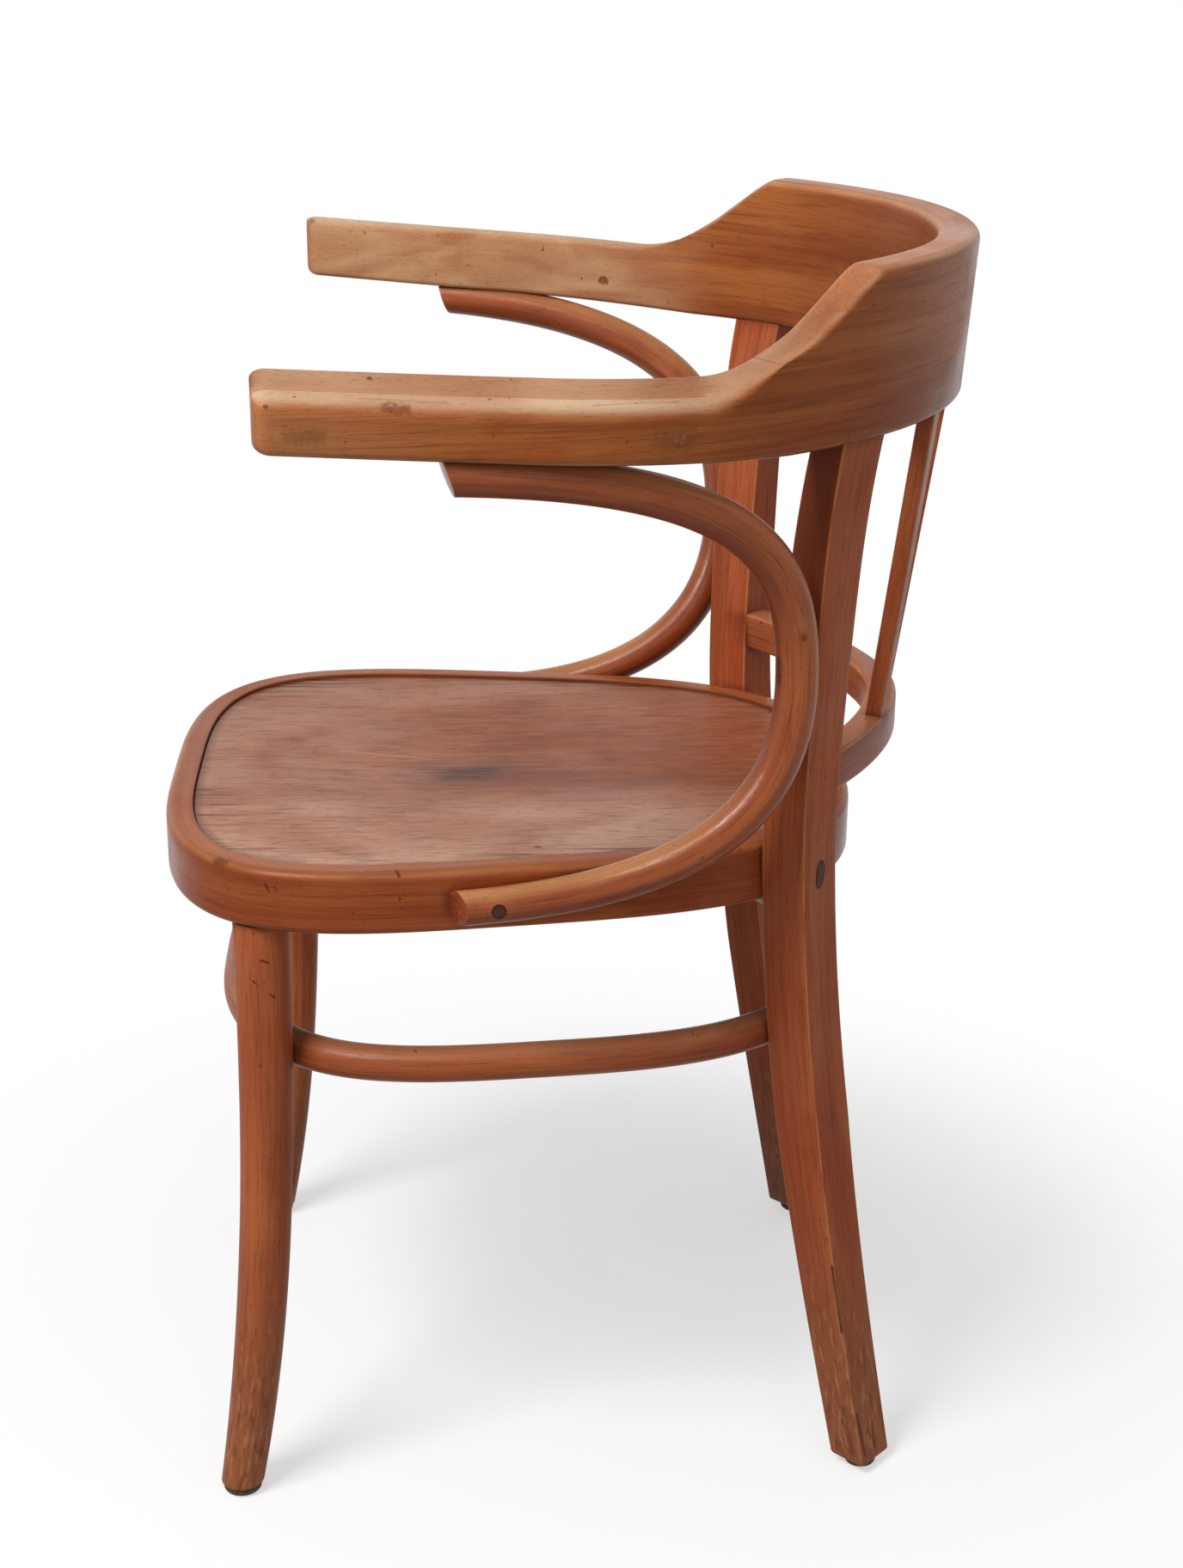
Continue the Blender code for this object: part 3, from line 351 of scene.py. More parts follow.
# Lower rail and spindles
RAIL_TOP = 0.4985
RAIL_HEIGHT = 0.025
RAIL_THICKNESS = 0.020
RAIL_BACK_Y = 0.2427
RAIL_BEND = 1.85
RAIL_SETBACK = 0.002
RAIL_ARRIS = 0.003
SPINDLES = 3
SPINDLE_SIDE = 0.0106
SPINDLE_FOOT_PITCH = 0.076
SPINDLE_HEAD_PITCH = 0.128
SPINDLE_FOOT_OUT = 0.003
SPINDLE_HEAD_OUT = 0.0065
SPINDLE_SOCKET = 0.008
# Arm hoops
HOOP_RADIUS = 0.0125
HOOP_TIP_RADIUS = 0.0118
HOOP_END_RADIUS = 0.0107
HOOP_TIP_AT = 0.464
HOOP_FLAT = 0.003
HOOP_TIP_SLANT = 22.0
HOOP_REAR_HEIGHT = 0.562
HOOP_REAR_SHIFT = 0.0100
HOOP_TIP_HANDLE = Vector((-0.034, 0.172, -0.010))
HOOP_REAR_UP = Vector((0.002, 0.0, 0.075))
HOOP_REAR_DOWN = Vector((-0.0023, 0.0, -0.087))
HOOP_END_HANDLE = Vector((-0.0175, 0.137, 0.0025))
HOOP_END_Y = -0.040
HOOP_END_FLAT = 0.0015
HOOP_END_SLANT = 24.0
# Stretcher ring and glides
STRETCHER_HEIGHT = 0.3055
STRETCHER_RADIUS = 0.0114
STRETCHER_HOUSING = 0.0015
STRETCHER_SQUARENESS = 3.1
STRETCHER_FRONT_BULGE = 0.0065
GLIDE_RADIUS = 0.0105
GLIDE_HEIGHT = 0.006
# Clearance of every joint
FIT = 0.0003
# Heights and the slide that follow from them
RING_BOTTOM = SEAT_TOP - RING_HEIGHT
RING_MIDDLE = SEAT_TOP - RING_HEIGHT / 2
FOOT_CUT = GLIDE_HEIGHT + FIT
LEAN = math.tan(math.radians(BOW_LEAN))
CREST_REACH = BOW_THICKNESS / 2 + LEAN * (CREST_TOP - CREST_ROUND - BOW_BOTTOM)
SHIFT = (SEAT_HALF_DEPTH + SEAT_FORWARD - BOW_BACK_Y - CREST_REACH) / 2
print("slide to the packed frame", round(SHIFT, 5))

# %% [markdown]
# ## The bends
# Two outlines rule the chair. The seat is a superellipse that narrows toward the back. The bow is
# one Bezier from the middle of the back to the shoulder, with a straight arm after it. Other
# pieces take their places from these two. Both could be drawn as curve objects, but as functions
# they also tell the place and the outward direction at any distance.

# %% Curves of the seat
SEAT_SAMPLES = 4001
NORMAL_TURN = 0.018


def bezier(a, b, c, d, t):
    """Point on a cubic curve."""
    return a * (1 - t) ** 3 + b * 3 * t * (1 - t) ** 2 + c * 3 * t * t * (1 - t) + d * t ** 3


def bent_ring(angle, half_width, half_depth, squareness, taper):
    """Point on a rounded, tapered ring. Angle 0 is its front, 90 degrees its left side."""
    across, along = math.sin(angle), -math.cos(angle)
    y = math.copysign(abs(along) ** (2 / squareness), along) * half_depth
    x = math.copysign(abs(across) ** (2 / squareness), across) * (half_width - taper * y)
    return Vector((x, y, 0.0))


def seat_point(angle):
    """Point on the seat ring's outer outline."""
    spot = bent_ring(angle, SEAT_HALF_WIDTH, SEAT_HALF_DEPTH, SEAT_SQUARENESS, SEAT_TAPER)
    return spot - Vector((0.0, SEAT_FORWARD, 0.0))


def seat_normal(angle):
    """Direction straight out of the seat."""
    run = seat_point(angle + NORMAL_TURN) - seat_point(angle - NORMAL_TURN)
    return Vector((run.y, -run.x, 0.0)).normalized()


def seat_angles(count, start=0.0):
    """Angles of evenly spaced places round the seat."""
    turns = np.linspace(start, start + 2 * math.pi, SEAT_SAMPLES)
    spots = np.array([seat_point(turn) for turn in turns])
    run = np.concatenate([[0.0], np.cumsum(np.linalg.norm(np.diff(spots, axis=0), axis=1))])
    return np.interp(np.linspace(0.0, run[-1], count, endpoint=False), run, turns)


def seat_angle_at(y):
    """Angle of the outline's left point at a distance along the seat."""
    middle = y + SEAT_FORWARD
    return math.acos(-math.copysign(abs(middle / SEAT_HALF_DEPTH) ** (SEAT_SQUARENESS / 2), middle))


print("seat, half width at the middle", round(seat_point(math.pi / 2).x, 4))

# %% Curves of the bow
BOW_SAMPLES = 2000
NORMAL_RUN = 0.004
HALVINGS = 40


def half_bow():
    """Distances, x and y of the bow's middle line from the back to the left arm's tip."""
    flare = math.radians(ARM_FLARE)
    forward = Vector((math.sin(flare), -math.cos(flare), 0.0))
    back = Vector((0.0, BOW_BACK_Y, 0.0))
    handle = back + Vector((BOW_BACK_PULL, 0.0, 0.0))
    pull = BOW_SHOULDER - forward * BOW_SHOULDER_PULL
    shares = [i / BOW_SAMPLES for i in range(BOW_SAMPLES + 1)]
    line = [bezier(back, handle, pull, BOW_SHOULDER, share) for share in shares]
    line = np.array(line + [BOW_SHOULDER + forward * ARM_LENGTH])
    run = np.concatenate([[0.0], np.cumsum(np.linalg.norm(np.diff(line, axis=0), axis=1))])
    return run, line[:, 0], line[:, 1]


BOW_RUN, BOW_X, BOW_Y = half_bow()
BOW_TIP_AT = BOW_RUN[-1]


def bow_point(at):
    """Point of the bow's middle line at a signed distance from the back's centre."""
    x, y = [float(np.interp(abs(at), BOW_RUN, line)) for line in (BOW_X, BOW_Y)]
    return Vector((math.copysign(x, at), y, 0.0))


def bow_normal(at):
    """Direction straight out of the bow."""
    run = bow_point(at + NORMAL_RUN) - bow_point(at - NORMAL_RUN)
    return Vector((-run.y, run.x, 0.0)).normalized()


def arm_share(at):
    """How far along the rising arm a place lies, from 0 to 1."""
    return min(max((abs(at) - ARM_RISE_FROM) / (BOW_TIP_AT - ARM_RISE_FROM), 0.0), 1.0)


def bow_bottom(at):
    """Height of the bow's underside."""
    return BOW_BOTTOM + ARM_RISE * arm_share(at) ** ARM_RISE_EASE


def arm_top(at):
    """Height of the arm's upper face, before it ramps up to the crest."""
    return bow_bottom(at) + BOW_HEIGHT + (ARM_TIP_HEIGHT - BOW_HEIGHT) * arm_share(at)


def top_line(at):
    """Height of the chair's upper edge: arm, ramp and crest."""
    share = min(max((CREST_HALF_LENGTH + CREST_RAMP_LENGTH - abs(at)) / CREST_RAMP_LENGTH, 0.0), 1.0)
    rise = 1 - (1 - share ** CREST_RAMP_RISE) ** CREST_RAMP_EASE
    return arm_top(at) + (CREST_TOP - arm_top(at)) * rise


def crest_end():
    """Distance at which the ramp leaves the glued seam."""
    low, high = CREST_HALF_LENGTH, CREST_HALF_LENGTH + CREST_RAMP_LENGTH
    for _ in range(HALVINGS):
        middle = (low + high) / 2
        if top_line(middle) > CREST_SEAM + CREST_END:
            low = middle
        else:
            high = middle
    return low


CREST_END_AT = crest_end()
print("bow, half length", round(BOW_TIP_AT, 4), "crest ends at", round(CREST_END_AT, 4))

# %% [markdown]
# ## Stained beech
# The chair is steam-bent beech under a red-brown stain and a satin varnish. Beech shows long faint
# streaks, fine fibres and short dark flecks, all along the member. An image could not follow the
# bends, so each piece stores a vector called grain: the distance along the member, and the place
# in its section. Noise stretched along the first number then bends with the wood. Two more stored
# numbers act on it: arris is high on edges, where the stain is rubbed away, and the second is high
# where another piece is close, where wax and dirt collect and a painted shade darkens the joint.
# Faces that look up are paler, partly dust and partly a painted sheen, end grain is soaked with
# stain, and the feet are scuffed. Single nicks, knots and splits are short lines between two places,
# and a point takes a mark's colour by its distance from that line.

# %% Shared steps of a finish
def new_finish(name, gloss):
    """A new material, a graph to fill it with, and its shader."""
    made = bpy.data.materials.new(name)
    made.use_nodes = True
    shader = made.node_tree.nodes["Principled BSDF"]
    shader.inputs["Specular IOR Level"].default_value = gloss
    return made, Graph(made.node_tree), shader


def roughen(graph, shader, height, strength, depth):
    """Bump a surface by a height field."""
    bump = graph.add("ShaderNodeBump")
    bump.inputs["Strength"].default_value = strength
    bump.inputs["Distance"].default_value = depth
    graph.put(bump.inputs["Height"], height)
    graph.put(shader.inputs["Normal"], bump.outputs[0])


def mark(graph, place, start, end, width, ragged=0.8):
    """How strongly a point lies on a short scratch between two places, from 0 to 1."""
    start, run = Vector(start), Vector(end) - Vector(start)
    gap = graph.vector("SUBTRACT", place, start)[0]
    slope = run / max(run.length_squared, 1e-9)
    share = graph.add("ShaderNodeClamp", graph.vector("DOT_PRODUCT", gap, slope)["Value"]).outputs[0]
    nearest = graph.vector("SCALE", run)[0]
    graph.put(nearest.node.inputs["Scale"], share)
    away = graph.vector("DISTANCE", gap, nearest)["Value"]
    rough = graph.math("MULTIPLY_ADD", graph.noise(place, (2.2 / width,) * 3, 4.0), 2 * ragged * width)
    rough.node.inputs[2].default_value = -ragged * width
    return graph.step(graph.math("ADD", away, rough), width * 0.1, width, 1.0, 0.0)


def marked(graph, colour, place, marks):
    """Lay marks over a colour. Each is (what it is, start, end, width, tint, strength)."""
    for _, start, end, width, tint, strength in marks:
        share = graph.times(mark(graph, place, start, end, width), strength)
        colour = graph.mix(share, colour, tint)
    return colour


print("steps of a finish:", *[step.__name__ for step in (new_finish, roughen, mark, marked)])

# %% The beech's noise and tints
def wood_fields(graph):
    """The places, directions and noises that the beech is coloured by."""
    grain = graph.stored("grain", "Vector")
    place = graph.add("ShaderNodeTexCoord").outputs["Object"]
    normal = graph.add("ShaderNodeNewGeometry").outputs["Normal"]
    return SimpleNamespace(
        grain=grain,
        place=place,
        spot=graph.add("ShaderNodeSeparateXYZ", place).outputs,
        facing=graph.add("ShaderNodeSeparateXYZ", normal).outputs,
        broad=graph.noise(grain, (3.0, 34.0, 34.0), 3.0, 0.3),
        streak=graph.noise(grain, (3.2, 300.0, 300.0), 4.0),
        fibre=graph.noise(grain, (26.0, 800.0, 800.0), 2.0),
        fleck=graph.noise(grain, (210.0, 1400.0, 1400.0), 1.0),
        cloud=graph.noise(place, (13.0, 13.0, 13.0), 5.0, 0.4),
        stain=graph.noise(grain, (9.0, 24.0, 24.0), 5.0, 0.6),
        speck=graph.noise(place, (170.0, 170.0, 170.0), 1.0))


def tinted(colour, *factors):
    """A colour with its red, green and blue scaled."""
    return tuple(value * factor for value, factor in zip(colour, factors))


def wood_tints(pale, deep, rubbed):
    """A beech's three own colours, and those that follow from them."""
    dark = tinted(deep, 0.42, 0.36, 0.36)
    return SimpleNamespace(
        pale=pale,
        deep=deep,
        rubbed=rubbed,
        dark=dark,
        # tint of the joints: wax and dirt, with painted shade
        wax_and_shade=tinted(dark, 0.5, 0.5, 0.5),
        red=tinted(deep, 1.10, 0.84, 0.72),
        gold=tinted(pale, 1.02, 1.12, 1.04),
        soaked=tinted(deep, 0.66, 0.56, 0.56),
        # tint of upward faces: dust with a painted sheen
        dusty_sheen=tinted(rubbed, 0.96, 1.16, 1.36))


print("tints of a beech:", *vars(wood_tints(WHITE, WHITE, WHITE)))

# %% The beech's figure and wear
FLOOR_DUST = (0.27, 0.112, 0.052)


def figured(graph, wood, tint, figure):
    """The wood's own colour: broad bands, uneven stain, streaks and fibres."""
    colour = graph.mix(graph.step(wood.broad, 0.34, 0.66), tint.deep, tint.pale)
    colour = graph.mix(graph.step(wood.stain, 0.50, 0.72, 0.0, 0.75), colour, tint.red)
    colour = graph.mix(graph.step(wood.stain, 0.48, 0.28, 0.0, 0.60), colour, tint.gold)
    colour = graph.mix(graph.step(wood.streak, 0.50, 0.68, 0.0, 0.62 * figure), colour, tint.soaked)
    colour = graph.mix(graph.step(wood.streak, 0.50, 0.32, 0.0, 0.45 * figure), colour, tint.gold)
    return graph.mix(graph.step(wood.fibre, 0.50, 0.72, 0.0, 0.42), colour, tint.dark)


def edge_wear(graph, wood, edge):
    """How far the edges are rubbed, in ragged stretches."""
    ragged = graph.step(graph.noise(wood.grain, (16.0, 120.0, 120.0), 4.0), 0.34, 0.60, 0.1, edge)
    return graph.times(graph.math("POWER", graph.stored("arris"), 3.0), ragged)


def hand_wear_and_arm_light(graph, wood, hand):
    """How far the arms are paler: hands' wear at both tips, and painted light along the right arm."""
    held = graph.step(wood.spot["Y"], -0.04, -0.17, 0.0, 0.20 * hand)
    # painted light: the right arm is paler all along, as where light falls on its inner side
    right = graph.step(wood.spot["X"], 0.0, -0.20)
    right = graph.times(right, graph.step(wood.spot["Y"], 0.13, 0.03, 0.0, hand))
    return graph.times(graph.larger(held, right), graph.step(wood.stain, 0.66, 0.36, 0.35, 1.0))


def painted_arm_shade(graph, wood, colour, tint, arm_shade_strength):
    """Painted shade: darken the outer front faces of the posts below the arms, more toward the arms."""
    outer = graph.step(graph.times(wood.facing["X"], wood.spot["X"]), 0.02, 0.10)
    ahead = graph.times(outer, graph.step(wood.facing["Y"], -0.3, -0.6))
    shade = graph.times(ahead, graph.step(wood.spot["Z"], 0.48, 0.66, 0.0, arm_shade_strength))
    return graph.mix(shade, colour, tint.dark)


def scuffed(graph, wood, colour, tint):
    """Floor dust, dark scuffs and rubbed wood near the floor."""
    low = graph.step(wood.spot["Z"], 0.20, 0.03)
    colour = graph.mix(graph.times(low, 0.55), colour, FLOOR_DUST)
    scuff = graph.step(graph.noise(wood.grain, (55.0, 260.0, 260.0), 3.0), 0.52, 0.64, 0.0, 0.42)
    colour = graph.mix(graph.times(low, scuff), colour, tint.dark)
    bare = graph.step(graph.noise(wood.grain, (70.0, 420.0, 420.0), 3.0), 0.54, 0.66, 0.0, 0.50)
    return graph.mix(graph.times(low, bare), colour, tint.rubbed)


# %% The varnish and the whole beech
def varnished(graph, wood, shader, worn, rough):
    """Set how rough the varnish is, and its ripple over the fibres."""
    sheen = graph.step(wood.cloud, 0.3, 0.7, rough - 0.07, rough + 0.10)
    sheen = graph.math("ADD", sheen, graph.times(worn, 0.06))
    sheen = graph.math("ADD", sheen, graph.step(wood.fleck, 0.55, 0.75, 0.0, 0.10))
    graph.put(shader.inputs["Roughness"], sheen)
    ripple = graph.math("ADD", graph.times(wood.cloud, 1.8), graph.times(wood.fibre, 0.20))
    ripple = graph.math("SUBTRACT", ripple, graph.step(wood.fleck, 0.58, 0.75, 0.0, 0.12))
    roughen(graph, shader, ripple, 0.55, 0.0010)


def stained_beech(name, pale, deep, rubbed, rough=0.36, edge=0.6, top=0.25, gloss=0.12,
                  figure=0.6, hand=0.0, arm_shade_strength=0.0, marks=()):
    """Stained, varnished and worn beech.

    Edge and top say how far edges are rubbed and how far upper faces are paler, by dust and by a
    painted sheen, and figure how strong streaks are. Hand is the wear of the arms with painted light along
    the right arm, and the arm shade strength puts painted shade on the posts' outer front faces.
    """
    made, graph, shader = new_finish(name, gloss)
    wood = wood_fields(graph)
    tint = wood_tints(pale, deep, rubbed)
    colour = figured(graph, wood, tint, figure)
    worn = edge_wear(graph, wood, edge)
    # upward faces paler: partly dust, partly a painted sheen of the varnish catching light from above
    dust_and_sheen = graph.step(wood.facing["Z"], 0.35, 0.88, 0.0, top)
    dust_and_sheen = graph.times(dust_and_sheen, graph.step(wood.stain, 0.70, 0.38, 0.6, 1.0))
    if hand:
        end_grain = graph.step(wood.facing["Y"], -0.60, -0.92, 0.0, 0.45)
        colour = graph.mix(end_grain, colour, tint.soaked)
        dust_and_sheen = graph.times(dust_and_sheen, graph.step(wood.spot["Y"], 0.14, 0.02, 0.15, 1.0))
        worn = graph.larger(worn, hand_wear_and_arm_light(graph, wood, hand))
    colour = graph.mix(worn, colour, tint.rubbed)
    colour = graph.mix(dust_and_sheen, colour, tint.dusty_sheen)
    colour = graph.mix(graph.step(wood.fleck, 0.60, 0.72, 0.0, 0.30), colour, tint.dark)
    colour = graph.mix(graph.step(wood.speck, 0.75, 0.80, 0.0, 0.65), colour, tint.dark)
    # painted shade on the posts' outer front faces, under the arms
    if arm_shade_strength:
        colour = painted_arm_shade(graph, wood, colour, tint, arm_shade_strength)
    colour = scuffed(graph, wood, colour, tint)
    colour = marked(graph, colour, wood.place, marks)
    # painted shade with wax and dirt where another piece lies close
    colour = graph.mix(graph.times(graph.stored("grime"), 0.55), colour, tint.wax_and_shade)
    graph.put(shader.inputs["Base Color"], colour)
    varnished(graph, wood, shader, worn, rough)
    return made


# %% Marks on the beech
SCAR = (0.030, 0.010, 0.006)
KNOT = (0.105, 0.026, 0.010)
RED_KNOT = (0.125, 0.024, 0.008)
SMUDGE = (0.15, 0.060, 0.020)
DARK_PATCH = (0.14, 0.050, 0.016)
RAW = (0.46, 0.25, 0.13)
ARM_MARKS = (
    ("knot in the side", (0.2971, -0.1040, 0.7420), (0.2968, -0.0940, 0.7415), 0.0050, RED_KNOT, 0.62),
    ("nick at the tip", (0.3053, -0.1652, 0.7448), (0.3053, -0.1645, 0.7446), 0.0017, SCAR, 0.80),
    ("nick on the top", (0.2832, -0.1133, 0.7548), (0.2832, -0.1120, 0.7548), 0.0016, SCAR, 0.80),
    ("smudge at the tip", (0.3046, -0.1530, 0.7300), (0.3040, -0.1390, 0.7285), 0.0065, SMUDGE, 0.50),
    ("dark patch by the ramp", (0.2725, 0.0400, 0.7200), (0.2700, 0.0560, 0.7180), 0.0095, DARK_PATCH, 0.40),
    ("scratch by the knot", (0.2950, -0.1180, 0.7470), (0.2911, -0.0726, 0.7434), 0.0013, KNOT, 0.22),
    ("scratch by the ramp", (0.2806, 0.0036, 0.7397), (0.2650, 0.0501, 0.7381), 0.0012, SCAR, 0.30),
    ("split in the crest", (0.1048, 0.2337, 0.7790), (0.1048, 0.2335, 0.7690), 0.0017, SCAR, 0.85),
    ("split at its rim", (0.1045, 0.2352, 0.7940), (0.1040, 0.2352, 0.7880), 0.0020, SCAR, 0.85),
    ("nick on its rim", (0.0436, 0.2454, 0.8000), (0.0400, 0.2480, 0.7940), 0.0017, SCAR, 0.80),
    ("nick at the far tip", (-0.2835, -0.1702, 0.7580), (-0.2830, -0.1690, 0.7582), 0.0034, SCAR, 0.55))
POST_MARKS = (
    ("split above the foot", (0.1650, 0.1718, 0.1476), (0.1690, 0.1797, 0.1002), 0.0014, SCAR, 0.85),
    ("split in the foot", (0.1772, 0.1914, 0.0415), (0.1825, 0.1971, 0.0140), 0.0022, SCAR, 0.70),
    ("scuff on the foot", (0.1738, 0.1838, 0.0434), (0.1802, 0.1882, 0.0140), 0.0050, KNOT, 0.45),
    ("scratch on the foot", (0.1700, 0.2029, 0.0302), (0.1747, 0.2047, 0.0144), 0.0014, SCAR, 0.75))
LEG_MARKS = (
    ("lower nick", (0.1843, -0.1937, 0.3675), (0.1831, -0.1815, 0.3561), 0.0013, SCAR, 0.85),
    ("upper nick", (0.1850, -0.1884, 0.3815), (0.1848, -0.1840, 0.3795), 0.0015, SCAR, 0.80))
HOOP_MARKS = (
    ("nick at the bend", (0.2214, 0.1281, 0.5943), (0.2212, 0.1283, 0.5930), 0.0030, SCAR, 0.70),
    # painted shade: a dark patch standing for the shadow in a small dent
    ("painted shade of a dent in the bend", (0.2120, 0.1145, 0.5770), (0.2110, 0.1150, 0.5650), 0.0056, SCAR, 0.70),
    ("bare wood on the bend", (0.2220, 0.1200, 0.6200), (0.2214, 0.1270, 0.6020), 0.0050, RAW, 0.30))
RING_MARKS = (
    ("knot at the corner", (0.1740, -0.2130, 0.4420), (0.1765, -0.2095, 0.4420), 0.0056, KNOT, 0.75),
    ("crack over the rim", (0.1958, -0.1058, 0.4435), (0.2000, -0.1040, 0.4415), 0.0016, SCAR, 0.75),
    ("long nick in the side", (0.1932, -0.1838, 0.4352), (0.1941, -0.1814, 0.4306), 0.0013, SCAR, 0.75),
    ("short nick beside it", (0.1950, -0.1780, 0.4340), (0.1954, -0.1768, 0.4320), 0.0011, SCAR, 0.65))
print("marks:", sum(map(len, (ARM_MARKS, POST_MARKS, LEG_MARKS, HOOP_MARKS, RING_MARKS))))

# %% Beech in the chair's different tones
ARM_BEECH = stained_beech(
    "arm_beech", pale=(0.395, 0.118, 0.030), deep=(0.235, 0.056, 0.012), rubbed=(0.57, 0.325, 0.176),
    rough=0.33, edge=0.45, top=1.00, gloss=0.12, figure=0.48, hand=0.98, marks=ARM_MARKS)
# the posts carry painted shade on their outer front faces under the arms
POST_BEECH = stained_beech(
    "post_beech", pale=(0.43, 0.108, 0.038), deep=(0.30, 0.066, 0.022), rubbed=(0.56, 0.22, 0.095),
    rough=0.40, edge=0.85, top=0.2, gloss=0.10, figure=0.5, arm_shade_strength=0.75, marks=POST_MARKS)
LEG_BEECH = stained_beech(
    "leg_beech", pale=(0.45, 0.118, 0.042), deep=(0.32, 0.074, 0.026), rubbed=(0.54, 0.22, 0.095),
    rough=0.38, edge=0.5, top=0.2, gloss=0.10, figure=0.5, marks=LEG_MARKS)
HOOP_BEECH = stained_beech(
    "hoop_beech", pale=(0.43, 0.112, 0.034), deep=(0.25, 0.052, 0.016), rubbed=(0.60, 0.27, 0.090),
    rough=0.24, edge=0.5, top=0.42, gloss=0.18, figure=0.8, marks=HOOP_MARKS)
RING_BEECH = stained_beech(
    "ring_beech", pale=(0.345, 0.080, 0.022), deep=(0.22, 0.045, 0.012), rubbed=(0.42, 0.165, 0.062),
    rough=0.28, edge=0.45, top=0.22, gloss=0.10, figure=0.5, marks=RING_MARKS)
STRETCHER_BEECH = stained_beech(
    "stretcher_beech", pale=(0.38, 0.096, 0.032), deep=(0.25, 0.057, 0.019), rubbed=(0.50, 0.22, 0.10),
    rough=0.32, edge=0.5, top=0.30, gloss=0.14)
BACK_BEECH = stained_beech(
    "back_beech", pale=(0.36, 0.092, 0.032), deep=(0.24, 0.056, 0.019), rubbed=(0.50, 0.21, 0.095),
    rough=0.34, edge=0.8, top=0.30, gloss=0.14)
print("beech tones:", [made.name for made in bpy.data.materials if made.name.endswith("beech")])

# %% [markdown]
# ## The seat panel's finish
# The panel is moulded plywood. Its face veneer runs front to back, has fine checks near its rim,
# and carries a dark damp stain near the middle, and a greyish bloom toward the front and sides that
# is partly dulled varnish and partly a painted sheen.
# It is flat enough for Object coordinates, so no stored grain is needed.

# %% The panel's finish
VENEER_DEEP = (0.205, 0.056, 0.024)
VENEER_PALE = (0.305, 0.100, 0.046)
VENEER_WARM = (0.330, 0.092, 0.034)
VENEER_CLOUD = (0.205, 0.054, 0.026)
VENEER_STREAK = (0.150, 0.042, 0.022)
VENEER_GOLD = (0.385, 0.175, 0.095)
VENEER_FIBRE = (0.105, 0.030, 0.017)
VENEER_FLECK = (0.090, 0.026, 0.015)
# greyish tint of dulled varnish and painted sheen
BLOOM_AND_SHEEN = (0.480, 0.265, 0.180)
CHECK = (0.055, 0.016, 0.010)
CRACK = (0.080, 0.022, 0.012)
SCRATCH = (0.44, 0.22, 0.14)
DAMP_EDGE = (0.100, 0.046, 0.036)
DAMP = (0.042, 0.028, 0.030)
# colour of the groove by the ring: dirt with painted shade
GROOVE_DIRT_AND_SHADE = (0.030, 0.011, 0.007)
DAMP_MARKS = (
    ((0.0177, -0.0840, 0.4379), (0.0078, -0.0400, 0.4375), 0.036, DAMP_EDGE, 0.60),
    ((0.0160, -0.0750, 0.4379), (0.0110, -0.0500, 0.4375), 0.0165, DAMP, 0.85))
PANEL_MARKS = (
    ("pale scratch", (-0.0286, -0.1469, 0.4396), (-0.0140, -0.0870, 0.4380), 0.0026, SCRATCH, 0.55),
    ("long crack", (0.0059, -0.1932, 0.4409), (0.0115, -0.1380, 0.4393), 0.0014, CRACK, 0.60),
    ("short crack", (0.0330, -0.1250, 0.4390), (0.0335, -0.0950, 0.4384), 0.0012, CRACK, 0.50),
    ("pin hole", (0.1550, -0.0210, 0.4414), (0.1558, -0.0195, 0.4414), 0.0024, SCAR, 0.85))


